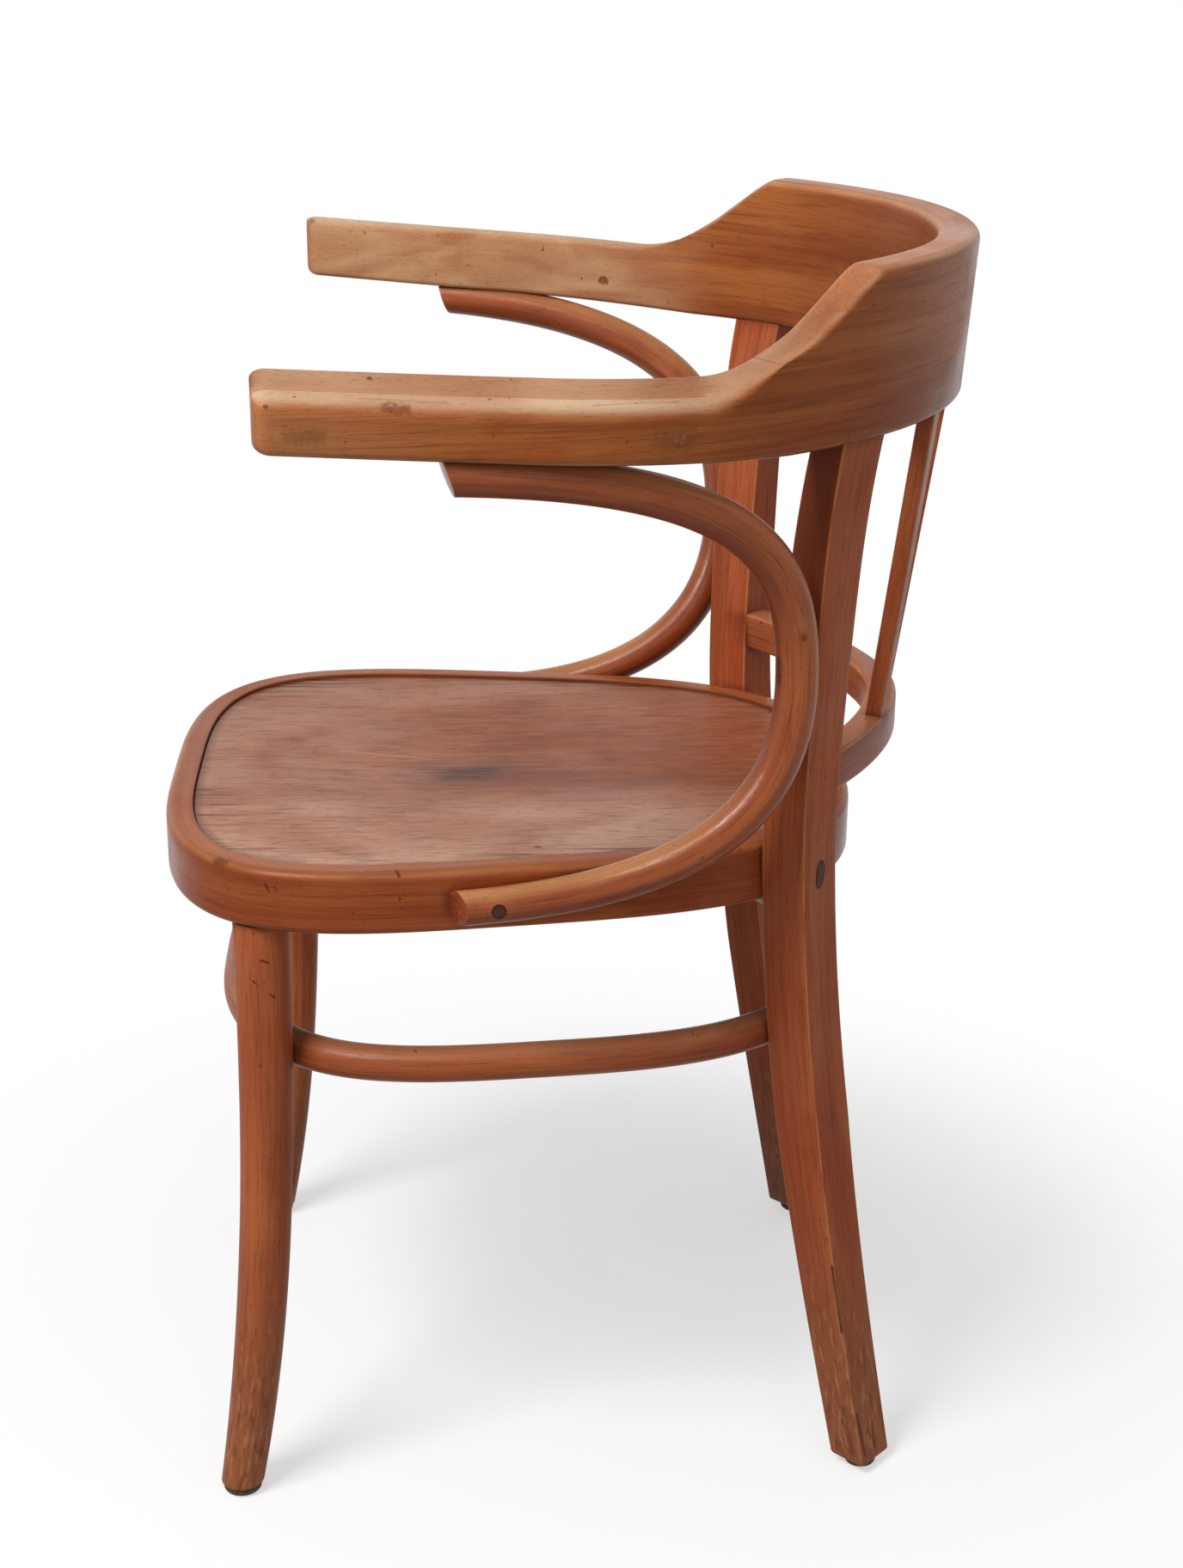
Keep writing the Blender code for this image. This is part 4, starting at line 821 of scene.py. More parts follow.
def worn_panel():
    """Red-brown veneer with checks, scratches, a damp stain, and a dulled varnish whose greyish bloom is
    partly painted sheen.
    """
    made, graph, shader = new_finish("worn_panel", 0.12)
    place = graph.add("ShaderNodeTexCoord").outputs["Object"]
    spot = graph.add("ShaderNodeSeparateXYZ", place).outputs
    broad = graph.noise(place, (15.0, 6.5, 15.0), 5.0, 0.8)
    streak = graph.noise(place, (250.0, 24.0, 250.0), 4.0)
    fibre = graph.noise(place, (680.0, 52.0, 680.0), 2.0)
    fleck = graph.noise(place, (1000.0, 150.0, 1000.0), 1.0)
    cloud = graph.noise(place, (14.0, 9.0, 14.0), 5.0, 0.5)
    check = graph.noise(place, (300.0, 7.0, 300.0), 3.0)
    colour = graph.mix(graph.step(broad, 0.34, 0.66), VENEER_DEEP, VENEER_PALE)
    # greyish bloom toward the front and sides: part dulled varnish, part painted sheen
    front = graph.step(spot["Y"], -0.02, -0.19, 0.0, 0.52)
    left = graph.step(spot["X"], 0.03, 0.10, 0.0, 1.0)
    right = graph.step(spot["X"], -0.05, -0.14, 0.0, 0.40)
    bloom_and_sheen = graph.larger(graph.larger(front, left), right)
    bloom_and_sheen = graph.times(bloom_and_sheen, graph.step(cloud, 0.64, 0.34, 0.68, 1.0))
    colour = graph.mix(bloom_and_sheen, colour, BLOOM_AND_SHEEN)
    colour = graph.mix(graph.step(cloud, 0.46, 0.72, 0.0, 0.30), colour, VENEER_CLOUD)
    colour = graph.mix(graph.step(spot["Y"], 0.03, 0.14, 0.0, 0.45), colour, VENEER_WARM)
    colour = graph.mix(graph.step(streak, 0.50, 0.68, 0.0, 0.34), colour, VENEER_STREAK)
    colour = graph.mix(graph.step(streak, 0.48, 0.32, 0.0, 0.28), colour, VENEER_GOLD)
    colour = graph.mix(graph.step(fibre, 0.50, 0.72, 0.0, 0.46), colour, VENEER_FIBRE)
    colour = graph.mix(graph.step(fleck, 0.60, 0.72, 0.0, 0.45), colour, VENEER_FLECK)
    rim = graph.step(graph.stored("arris"), 0.15, 0.80)
    checks = graph.times(graph.step(check, 0.625, 0.655), rim)
    colour = graph.mix(graph.times(checks, 0.75), colour, CHECK)
    stretched = graph.step(streak, 0.30, 0.62, 0.35, 1.0)
    for start, end, width, tint, strength in DAMP_MARKS:
        damp = graph.times(mark(graph, place, start, end, width, 0.6), stretched)
        colour = graph.mix(graph.times(damp, strength), colour, tint)
    colour = marked(graph, colour, place, PANEL_MARKS)
    # painted shade with dirt in the groove by the ring
    colour = graph.mix(graph.times(graph.stored("grime"), 0.70), colour, GROOVE_DIRT_AND_SHADE)
    graph.put(shader.inputs["Base Color"], colour)
    graph.put(shader.inputs["Roughness"], graph.step(cloud, 0.3, 0.7, 0.36, 0.50))
    ripple = graph.math("ADD", graph.times(cloud, 1.6), graph.times(fibre, 0.20))
    ripple = graph.math("SUBTRACT", ripple, graph.times(checks, 0.5))
    roughen(graph, shader, ripple, 0.5, 0.0010)
    return made


WORN_PANEL = worn_panel()
print("panel nodes:", len(WORN_PANEL.node_tree.nodes))

# %% [markdown]
# ## Finishes of the small pieces
# Plugs show end grain with a dark glue line round it. Pins, screws and glides are so small that two
# tones clouded into each other, with a little bump, are all that shows.

# %% Plug, pin, steel and rubber finishes
def plug_face():
    """End grain with a dark glue line round it, drawn from the stored place in the plug."""
    made, graph, shader = new_finish("plug_face", 0.15)
    shader.inputs["Roughness"].default_value = 0.50
    across = graph.vector("MULTIPLY", graph.stored("grain", "Vector"), (1.0, 1.0, 0.0))[0]
    away = graph.vector("LENGTH", across)["Value"]
    place = graph.add("ShaderNodeTexCoord").outputs["Object"]
    pores = graph.noise(place, (1400.0, 1400.0, 1400.0), 3.0)
    colour = graph.mix(graph.step(pores, 0.38, 0.62), (0.050, 0.014, 0.007), (0.110, 0.032, 0.013))
    colour = graph.mix(graph.step(away, 0.66, 0.92, 0.0, 0.85), colour, SCAR)
    graph.put(shader.inputs["Base Color"], colour)
    return made


def plain_finish(name, first, second, rough, metallic, grain_size):
    """Two tones clouded into each other, for the small pieces."""
    made, graph, shader = new_finish(name, 0.25)
    shader.inputs["Metallic"].default_value = metallic
    place = graph.add("ShaderNodeTexCoord").outputs["Object"]
    cloud = graph.noise(place, (grain_size,) * 3, 4.0)
    graph.put(shader.inputs["Base Color"], graph.mix(graph.step(cloud, 0.35, 0.65), first, second))
    graph.put(shader.inputs["Roughness"], graph.step(cloud, 0.3, 0.7, rough - 0.08, rough + 0.12))
    roughen(graph, shader, cloud, 0.3, 0.0004)
    return made


PLUG_FACE = plug_face()
PIN_WOOD = plain_finish("pin_wood", (0.16, 0.050, 0.018), (0.29, 0.098, 0.034), 0.46, 0.0, 700.0)
DULL_STEEL = plain_finish("dull_steel", (0.16, 0.13, 0.11), (0.34, 0.31, 0.28), 0.45, 1.0, 1500.0)
GLIDE_RUBBER = plain_finish("glide_rubber", (0.050, 0.041, 0.027), (0.130, 0.110, 0.075), 0.66, 0.0, 420.0)
print("small finishes:", PLUG_FACE.name, PIN_WOOD.name, DULL_STEEL.name, GLIDE_RUBBER.name)

# %% [markdown]
# ## Bent members by Geometry Nodes
# Hoops, legs, stretcher, seat ring, rail and spindles are all one section carried along one path.
# A bevelled curve would do for the round ones, but a node tree also stores the grain while it
# sweeps. Its path is a chain of points with a thickness and a facing, and its profile is a loop of
# points. The profile's x follows the facing, so the tree serves round and square members alike.

# %% The bent member tree
def input_socket(tree, label, kind):
    tree.interface.new_socket(label, in_out="INPUT", socket_type=kind)


def new_tree(name, **inputs):
    """An empty geometry tree with named inputs, its two ends, and a helper to fill it."""
    tree = bpy.data.node_groups.new(name, "GeometryNodeTree")
    input_socket(tree, "Geometry", "NodeSocketGeometry")
    for label, kind in inputs.items():
        input_socket(tree, label, kind)
    tree.interface.new_socket("Geometry", in_out="OUTPUT", socket_type="NodeSocketGeometry")
    return tree, Graph(tree), tree.nodes.new("NodeGroupInput"), tree.nodes.new("NodeGroupOutput")


def named(graph, label, kind="FLOAT"):
    """A stored attribute, by name."""
    return graph.add("GeometryNodeInputNamedAttribute", label, data_type=kind).outputs["Attribute"]


def store(graph, geometry, label, value, kind="FLOAT"):
    """Store a field on the geometry's points."""
    options = {"data_type": kind, "domain": "POINT"}
    made = graph.add("GeometryNodeStoreNamedAttribute", geometry, None, label, **options)
    graph.put(made.inputs["Value"], value)
    return made.outputs[0]


def close_tree(graph, geometry, finish, sink):
    """Realize, shade smooth, set the material and end the tree."""
    solid = graph.add("GeometryNodeRealizeInstances", geometry).outputs[0]
    smooth = graph.add("GeometryNodeSetShadeSmooth", solid).outputs[0]
    made = graph.add("GeometryNodeSetMaterial", smooth)
    graph.put(made.inputs["Material"], finish)
    graph.put(sink.inputs[0], made.outputs[0])


def bent_member_tree():
    """Sweep a profile along a path and store the grain."""
    tree, graph, source, sink = new_tree(
        "bent_member", Profile="NodeSocketObject", Offset="NodeSocketVector", Finish="NodeSocketMaterial")
    path = graph.add("GeometryNodeMeshToCurve", source.outputs["Geometry"]).outputs[0]
    facing = named(graph, "facing", "FLOAT_VECTOR")
    turned = graph.add("GeometryNodeSetCurveNormal", path, mode="FREE")
    graph.put(turned.inputs["Normal"], facing)
    length = graph.add("GeometryNodeSplineParameter").outputs["Length"]
    path = store(graph, turned.outputs[0], "along", length)
    loop = graph.add("GeometryNodeObjectInfo", source.outputs["Profile"]).outputs["Geometry"]
    loop = graph.add("GeometryNodeMeshToCurve", loop).outputs[0]
    loop = store(graph, loop, "section", graph.add("GeometryNodeInputPosition").outputs[0], "FLOAT_VECTOR")
    thick = named(graph, "thick")
    swept = graph.add("GeometryNodeCurveToMesh", path, loop, thick, True).outputs[0]
    section = graph.vector("SCALE", named(graph, "section", "FLOAT_VECTOR"))[0]
    graph.put(section.node.inputs["Scale"], thick)
    parts = graph.add("ShaderNodeSeparateXYZ", section).outputs
    grain = graph.add("ShaderNodeCombineXYZ", named(graph, "along"), parts["X"], parts["Y"]).outputs[0]
    grain = graph.vector("ADD", grain, source.outputs["Offset"])[0]
    swept = store(graph, swept, "grain", grain, "FLOAT_VECTOR")
    close_tree(graph, swept, source.outputs["Finish"], sink)
    return tree


BENT_MEMBER = bent_member_tree()
print(BENT_MEMBER.name, "nodes:", len(BENT_MEMBER.nodes))

# %% Paths and profiles for the tree
def store_points(mesh, label, values):
    """Store one number or vector for each point of a mesh."""
    values = np.asarray(values, np.float32)
    kind, key = ("FLOAT", "value") if values.ndim == 1 else ("FLOAT_VECTOR", "vector")
    mesh.attributes.new(label, kind, "POINT").data.foreach_set(key, values.ravel())


def chain(points, facings, thick, closed=False):
    """A path as a chain of edges, with the facing and thickness of each point."""
    count = len(points)
    mesh = bpy.data.meshes.new("path")
    edges = [(i, (i + 1) % count) for i in range(count if closed else count - 1)]
    mesh.from_pydata([tuple(point) for point in points], edges, [])
    store_points(mesh, "facing", [tuple(facing) for facing in facings])
    store_points(mesh, "thick", thick)
    return mesh


def profile(name, points, arris):
    """A closed loop of section points, with how far each one is an edge."""
    mesh = bpy.data.meshes.new(name)
    count = len(points)
    mesh.from_pydata([(x, y, 0.0) for x, y in points], [(i, (i + 1) % count) for i in range(count)], [])
    store_points(mesh, "arris", arris)
    return placed(name, mesh)


def grow(tree, base, **inputs):
    """Run a tree on a base mesh and keep the plain mesh that it makes."""
    holder = placed("holder", base)
    modifier = holder.modifiers.new(tree.name, "NODES")
    modifier.node_group = tree
    for item in tree.interface.items_tree:
        if item.in_out == "INPUT" and item.name in inputs:
            modifier[item.identifier] = inputs[item.name]
    grown = holder.evaluated_get(bpy.context.evaluated_depsgraph_get())
    mesh = bpy.data.meshes.new_from_object(grown)
    bpy.data.objects.remove(holder)
    return mesh


def offset(seed):
    """A place in the timber for each seed, so that no two pieces show the same figure."""
    return (1.7 * seed, 0.31 * seed, 0.77 * seed)


def circle_profile(sides=40):
    turns = [2 * math.pi * i / sides for i in range(sides)]
    return profile("round_section", [(math.cos(turn), math.sin(turn)) for turn in turns], [0.0] * sides)


ROUND = circle_profile()
print("round section:", len(ROUND.data.vertices), "points")

# %% [markdown]
# ## Finishing touches that every piece shares
# A saw cut closes a member at a slant or level with the floor. Easing takes the razor edge off it.
# Dirt and painted shade at the joints come from a measure: each point asks how far the nearest other
# solid is. That could also be an Ambient Occlusion node, but a stored number survives in the exported
# model.

# %% Saw, ease and settle
NEAR = 0.012
JOINT_SHADE_REACH = 0.0026
LEAST_NEIGHBOUR = 0.06
SHARP_RIM = math.radians(50)
CREASE = math.radians(40)
WELD = 0.000005
SAW_REACH = 0.05
BODIES = {}
for solid_name, solid in frame["nodes"].items():
    low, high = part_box(solid_name)
    if (high - low).length > LEAST_NEIGHBOUR:
        corners = [vert.co.copy() for vert in solid.data.vertices]
        faces = [tuple(face.vertices) for face in solid.data.polygons]
        surface = BVHTree.FromPolygons(corners, faces)
        BODIES[solid_name] = (surface, np.array(low) - NEAR, np.array(high) + NEAR)


def grime_of(mesh, own):
    """How close another solid lies to each point, from 0 to 1: how much painted shade and dirt it takes at
    the joint.
    """
    spots = np.empty(len(mesh.vertices) * 3, np.float32)
    mesh.vertices.foreach_get("co", spots)
    spots = spots.reshape(-1, 3)
    nearest = np.full(len(spots), NEAR)
    for label, (surface, low, high) in BODIES.items():
        if label in own or {label, *own} == {"arm_bow", "crest_rail"}:
            continue
        for i in np.nonzero(((spots > low) & (spots < high)).all(1))[0]:
            away = surface.find_nearest(Vector(spots[i]), NEAR)[3]
            if away is not None:
                nearest[i] = min(nearest[i], away)
    return np.exp(-(nearest / JOINT_SHADE_REACH) ** 2)


def saw(mesh, point, normal):
    """Cut off what lies ahead of a plane near a point, and close the cut."""
    with edited(mesh) as shape:
        faces = [face for face in shape.faces if (face.calc_center_median() - point).length < SAW_REACH]
        edges = {edge for face in faces for edge in face.edges}
        verts = {vert for face in faces for vert in face.verts}
        found = bmesh.ops.bisect_plane(
            shape, geom=[*verts, *edges, *faces], plane_co=point, plane_no=normal, clear_outer=True)
        rim = [item for item in found["geom_cut"] if isinstance(item, bmesh.types.BMEdge)]
        bmesh.ops.contextual_create(shape, geom=rim)


def ease(mesh, width=0.0008):
    """Round the sharp rims a little."""
    with edited(mesh) as shape:
        rims = [edge for edge in shape.edges if edge.is_manifold and edge.calc_face_angle() > SHARP_RIM]
        bmesh.ops.bevel(
            shape, geom=rims, offset=width, segments=2, profile=0.5, affect="EDGES", clamp_overlap=True)


def settle(name, mesh, finish, slot, *nodes):
    """Slide a finished mesh onto the packed chair and let it stand for its solids."""
    with edited(mesh) as shape:
        bmesh.ops.remove_doubles(shape, verts=shape.verts, dist=WELD)
        bmesh.ops.recalc_face_normals(shape, faces=shape.faces)
    mesh.transform(Matrix.Translation((0.0, SHIFT, 0.0)))
    mesh.shade_smooth()
    mesh.set_sharp_from_angle(angle=CREASE)
    # how much painted shade and dirt each point takes near other pieces
    store_points(mesh, "grime", grime_of(mesh, nodes))
    mesh.materials.clear()
    mesh.materials.append(finish)
    mesh.name = name
    piece = placed(name, mesh)
    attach(piece, "root")
    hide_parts(*nodes)
    print(name, len(mesh.vertices), "points")
    return piece


print("neighbours to measure:", len(BODIES))

# %% [markdown]
# ## Arm bow and crest rail
# One bent plank makes both arms and the back. A strip glued on top of it along a level seam is
# planed into the crest, with a long hollow ramp down to each arm. The section changes all the way:
# crisp where the crest is glued, fully rounded on the arms and drawn in at the tips. A sweep keeps
# its section, so these two are lofts: one ring of points after another, each from the same rules.

# %% Sections and lofts
def rounded(width, height, bottom_round, top_round, inner_round=None, slope=0.0, steps=6, flats=4):
    """A rounded section as (outward, up, arris) points. Its top may slope down outward."""
    inner_round = top_round if inner_round is None else inner_round
    corners = (
        (1, bottom_round, bottom_round, -90), (1, height - slope / 2 - top_round, top_round, 0),
        (-1, height + slope / 2 - inner_round, inner_round, 90), (-1, bottom_round, bottom_round, 180))
    rim = []
    for side, middle, radius, start in corners:
        for i in range(steps + 1):
            turn = math.radians(start + 90 * i / steps)
            across = side * (width / 2 - radius) + radius * math.cos(turn)
            rim.append((across, middle + radius * math.sin(turn), math.sin(math.pi * i / steps)))
    points = []
    for i, point in enumerate(rim):
        points.append(point)
        if i % (steps + 1) == steps:
            after = rim[(i + 1) % len(rim)]
            run = (after[0] - point[0], after[1] - point[1])
            for k in range(1, flats + 1):
                share = k / (flats + 1)
                points.append((point[0] + run[0] * share, point[1] + run[1] * share, 0.0))
    return points


def loft(rings, grains, arrises):
    """Skin a row of point rings, close both ends and store the grain and the edges."""
    count, rows = len(rings[0]), len(rings)
    faces = []
    for row in range(rows - 1):
        low, high = row * count, (row + 1) * count
        for i in range(count):
            after = (i + 1) % count
            faces.append((low + i, low + after, high + after, high + i))
    faces.append(tuple(range(count - 1, -1, -1)))
    faces.append(tuple(range((rows - 1) * count, rows * count)))
    mesh = bpy.data.meshes.new("loft")
    mesh.from_pydata([tuple(point) for ring in rings for point in ring], [], faces)
    store_points(mesh, "grain", [tuple(grain) for row in grains for grain in row])
    store_points(mesh, "arris", [value for row in arrises for value in row])
    return mesh


def bow_loft(stations, section_at, seed):
    """Stand sections across the bow. Each is (inset bottom, points), leaning with the back."""
    rings, grains, arrises = [], [], []
    move = Vector(offset(seed))
    for station in stations:
        at, bottom, section = section_at(station)
        centre, out, base = bow_point(at), bow_normal(at), bottom - bow_bottom(at)
        tip = LEAN * (1 - arm_share(at))
        rings.append([centre + out * (a + tip * (base + up)) + UP * (bottom + up) for a, up, _ in section])
        grains.append([Vector((at, bottom + up, a)) + move for a, up, _ in section])
        arrises.append([edge for _, _, edge in section])
    return loft(rings, grains, arrises)


print("points in a bow section:", len(rounded(BOW_THICKNESS, BOW_HEIGHT, BOW_ARRIS, BOW_OUTER_ROUND)))

# %% The bow and the crest
BOW_STEPS = 230
CREST_STEPS = 180
TIP_STEPS = 8
GLUE_EDGE = 0.0001
BOW_SEED = 1


def bow_stations():
    """Distances along the bow with the inset left by its rounded tips."""
    inner = BOW_TIP_AT - ARM_TIP_ROUND
    places = [inner * (2 * i / BOW_STEPS - 1) for i in range(BOW_STEPS + 1)]
    stations = [(at, 0.0) for at in sorted(places + [-CREST_END_AT, CREST_END_AT])]
    for i in range(1, TIP_STEPS + 1):
        turn = math.radians(90 * i / TIP_STEPS)
        end = (inner + ARM_TIP_ROUND * math.sin(turn), ARM_TIP_ROUND * (1 - math.cos(turn)))
        stations.append(end)
        stations.insert(0, (-end[0], end[1]))
    return stations


def bow_section(station):
    """The bow's section: square under the crest, rounded on the arm, drawn in at the tip."""
    at, inset = station
    on_ramp = abs(at) < CREST_HALF_LENGTH + CREST_RAMP_LENGTH
    top = min(top_line(at), CREST_SEAM) if on_ramp else top_line(at)
    blend = min(max((abs(at) - CREST_END_AT) / CREST_BLEND, 0.0), 1.0)
    outer = GLUE_EDGE + (BOW_OUTER_ROUND - GLUE_EDGE) * blend - inset
    inner = GLUE_EDGE + (BOW_INNER_ROUND - GLUE_EDGE) * blend - inset / 2
    bottom = bow_bottom(at)
    height = top - bottom - inset
    section = rounded(BOW_THICKNESS - 2 * inset, height, BOW_ARRIS, outer, inner, ARM_TOP_SLOPE * blend)
    tip = inset / ARM_TIP_ROUND
    crisp = max(blend, 0.25)
    section = [(a, up, max(edge * crisp, tip * 0.5)) for a, up, edge in section]
    return at, bottom + inset / 2, section


def crest_section(at):
    """The crest's section above the glued seam."""
    bottom = CREST_SEAM
    height = top_line(at) - bottom
    return at, bottom, rounded(BOW_THICKNESS, height, GLUE_EDGE, min(CREST_ROUND, height * 0.45))


crest_places = [CREST_END_AT * (2 * i / CREST_STEPS - 1) for i in range(CREST_STEPS + 1)]
settle("arm_bow_wood", bow_loft(bow_stations(), bow_section, BOW_SEED), ARM_BEECH, "arm_wood", "arm_bow")
settle("crest_wood", bow_loft(crest_places, crest_section, BOW_SEED), ARM_BEECH, "arm_wood", "crest_rail")

# %% [markdown]
# ## Back posts
# Each post is sawn to a curve and runs from the floor to the bow in one piece, notched over the
# seat ring. One cubic passes through its foot, knee, seat and head. A sweep would tilt the section
# along the curve, but a sawn post keeps it level, so the post is a loft of level rings.

# %% Back posts
POST_OUT = Vector((math.cos(math.radians(POST_FACING)), math.sin(math.radians(POST_FACING)), 0.0))
POST_FACE = Vector((POST_OUT.y, -POST_OUT.x, 0.0))
POST_HEAD = BOW_BOTTOM - FIT
POST_LET_IN = 0.0028
FOOT_ROUND = 0.0026
FOOT_WEAR = 0.02
POST_SEED = 4
POST_TURN = math.radians(POST_ANGLE)
post_seat = seat_point(POST_TURN) + POST_OUT * (POST_WIDTHS[2] / 2 - POST_HOUSING)
POST_KNOTS = (POST_FOOT, POST_KNEE, post_seat + UP * RING_MIDDLE, bow_point(POST_HEAD_AT) + UP * POST_HEAD)


def post_centre(height):
    """Point of the left post's middle line: a cubic through four knots, bowed back above the seat."""
    above = max((height - RING_MIDDLE) / (POST_HEAD - RING_MIDDLE), 0.0)
    spot = Vector((0.0, POST_BOW * math.sin(math.pi * above) ** 2, height))
    for knot in POST_KNOTS:
        share = 1.0
        for other in POST_KNOTS:
            if other is not knot:
                share *= (height - other.z) / (knot.z - other.z)
        spot += Vector((knot.x, knot.y, 0.0)) * share
    return spot


def post_size(height):
    """Width and depth of the post, deep again at its head."""
    heights = (0.0, POST_KNEE.z, RING_MIDDLE, POST_HEAD)
    flare = max((height - RING_MIDDLE) / (POST_HEAD - RING_MIDDLE), 0.0) ** 2
    depth = np.interp(height, heights[:3], POST_DEPTHS[:3]) + (POST_DEPTHS[3] - POST_DEPTHS[2]) * flare
    return float(np.interp(height, heights, POST_WIDTHS)), float(depth)


def mirrored(point, side):
    """A left-hand place, or its mirror image on the right."""
    return Vector((point[0] * side, point[1], point[2]))


def post_stations(steps=120, turns=5):
    """Heights up the post, with the inset left by its rounded foot."""
    stations = []
    for i in range(turns):
        turn = math.radians(90 * i / turns)
        stations.append((FOOT_CUT + FOOT_ROUND * (1 - math.cos(turn)), FOOT_ROUND * (1 - math.sin(turn))))
    straight = np.linspace(FOOT_CUT + FOOT_ROUND, POST_HEAD + POST_LET_IN, steps + 1)
    return stations + [(float(height), 0.0) for height in straight]


def post_loft(side, seed):
    """Level sections of one post."""
    rings, grains, arrises = [], [], []
    move = Vector(offset(seed))
    for height, inset in post_stations():
        width, depth = [size - 2 * inset for size in post_size(height)]
        centre = post_centre(height)
        section = rounded(width, depth, POST_ARRIS, POST_ARRIS, steps=4)
        low = math.exp(-height / FOOT_WEAR) * 0.7
        spots = [centre + POST_OUT * a + POST_FACE * (d - depth / 2) for a, d, _ in section]
        rings.append([mirrored(spot, side) for spot in spots])
        grains.append([Vector((height, a, d)) + move for a, d, _ in section])
        arrises.append([max(edge, low) for _, _, edge in section])
    return loft(rings, grains, arrises)


SIDES = (("left", 1), ("right", -1))
for label, side in SIDES:
    mesh = post_loft(side, POST_SEED + side)
    settle(f"back_post_wood_{label}", mesh, POST_BEECH, "frame_wood", f"back_post_{label}")

# %% [markdown]
# ## Front legs
# The front legs are round, drawn in toward the foot and swept forward. A turned leg would be
# straight, so this one is bent: the round section follows a path that leaves the vertical slowly
# and the tree scales it by each point's thickness. The foot is sawn level for its glide.

# %% Front legs
LEG_TURN = math.radians(LEG_ANGLE)
LEG_TOP = seat_point(LEG_TURN) - seat_normal(LEG_TURN) * LEG_INSET
LEG_SHOULDER = RING_BOTTOM - FIT
LEG_STEPS = 90
LEG_WASTE = 0.006
LEG_EASE = 0.0010
LEG_SEED = 8


def leg_centre(height):
    """Point of the left front leg's middle line."""
    share = max(1 - height / LEG_SHOULDER, 0.0) ** LEG_SWEEP
    return LEG_TOP + Vector((LEG_SPLAY_X, -LEG_SPLAY_Y, 0.0)) * share + UP * height


def leg_radius(height):
    """Radius of the leg, drawn in toward the foot."""
    above = max(2 * height / LEG_SHOULDER - 1, 0.0)
    below = max(1 - 2 * height / LEG_SHOULDER, 0.0)
    wider = (LEG_TOP_RADIUS - LEG_MID_RADIUS) * above
    thinner = (LEG_MID_RADIUS - LEG_FOOT_RADIUS) * below ** 2
    return LEG_MID_RADIUS + wider - thinner


def front_leg(side, seed):
    """One leg, swept by the tree and sawn level at the foot."""
    heights = [LEG_SHOULDER * i / LEG_STEPS for i in range(LEG_STEPS + 1)]
    points = [leg_centre(height) for height in heights]
    points.insert(0, points[0] + (points[0] - points[1]).normalized() * LEG_WASTE)
    radii = [leg_radius(height) for height in [0.0] + heights]
    base = chain([mirrored(p, side) for p in points], [(0.0, -1.0, 0.0)] * len(points), radii)
    mesh = grow(BENT_MEMBER, base, Profile=ROUND, Offset=offset(seed), Finish=LEG_BEECH)
    saw(mesh, mirrored(leg_centre(FOOT_CUT), side), -UP)
    ease(mesh, LEG_EASE)
    return mesh


for label, side in SIDES:
    mesh = front_leg(side, LEG_SEED + side)
    settle(f"front_leg_wood_{label}", mesh, LEG_BEECH, "frame_wood", f"front_leg_{label}")

# %% [markdown]
# ## Seat ring and panel
# The ring is bent from one bar, with a rebate round the inside for the panel, so it is one section
# swept round the seat. The panel could be a filled outline, but it is dished, so it is a disc of
# shrinking rims with a small round at the edge, and a groove is left between the two, darkened
# by dirt and painted shade.

# %% Seat ring
LIP_ROUND = 0.0009
LIP_STEPS = 4
ROUND_STEPS = 8
SIDE_STEPS = 6
RING_PLACES = 320
RING_SEED = 11


def ring_profile():
    """The ring's section: rounded outer edges, a lip and a ledge for the panel."""
    points, arris = [], []
    for start, middle in ((-90, RING_ROUND), (0, RING_HEIGHT - RING_ROUND)):
        for i in range(ROUND_STEPS + 1):
            turn = math.radians(start + 90 * i / ROUND_STEPS)
            points.append((RING_ROUND * (math.cos(turn) - 1), middle + RING_ROUND * math.sin(turn)))
            arris.append(math.sin(math.pi * i / ROUND_STEPS) if start == 0 else 0.3)
        if start == -90:
            for i in range(1, SIDE_STEPS):
                points.append((0.0, RING_ROUND + (RING_HEIGHT - 2 * RING_ROUND) * i / SIDE_STEPS))
                arris.append(0.0)
    for i in range(1, LIP_STEPS):
        points.append((-RING_ROUND + (RING_ROUND + LIP_ROUND - RING_LIP) * i / LIP_STEPS, RING_HEIGHT))
        arris.append(0.1)
    for i in range(LIP_STEPS + 1):
        turn = math.radians(90 + 90 * i / LIP_STEPS)
        across = -RING_LIP + LIP_ROUND * (1 + math.cos(turn))
        points.append((across, RING_HEIGHT - LIP_ROUND * (1 - math.sin(turn))))
        arris.append(0.3)
    ledge = RING_HEIGHT - PANEL_RECESS - PANEL_THICKNESS - FIT
    points += [(-RING_LIP, ledge), (-RING_WIDTH, ledge), (-RING_WIDTH, 0.0)]
    return profile("ring_section", points, arris + [0.0] * 3)


def seat_ring():
    """The bent ring, swept clockwise so that the section's y points up. It starts at the left post."""
    angles = seat_angles(RING_PLACES, POST_TURN)[::-1]
    points = [seat_point(angle) + UP * RING_BOTTOM for angle in angles]
    base = chain(points, [seat_normal(angle) for angle in angles], [1.0] * len(points), True)
    return grow(BENT_MEMBER, base, Profile=ring_profile(), Offset=offset(RING_SEED), Finish=RING_BEECH)


settle("seat_ring_wood", seat_ring(), RING_BEECH, "frame_wood", "seat_ring")

# %% Seat panel
PANEL_TOP = SEAT_TOP - PANEL_RECESS
PANEL_EDGE = 0.0011
EDGE_STEPS = 4


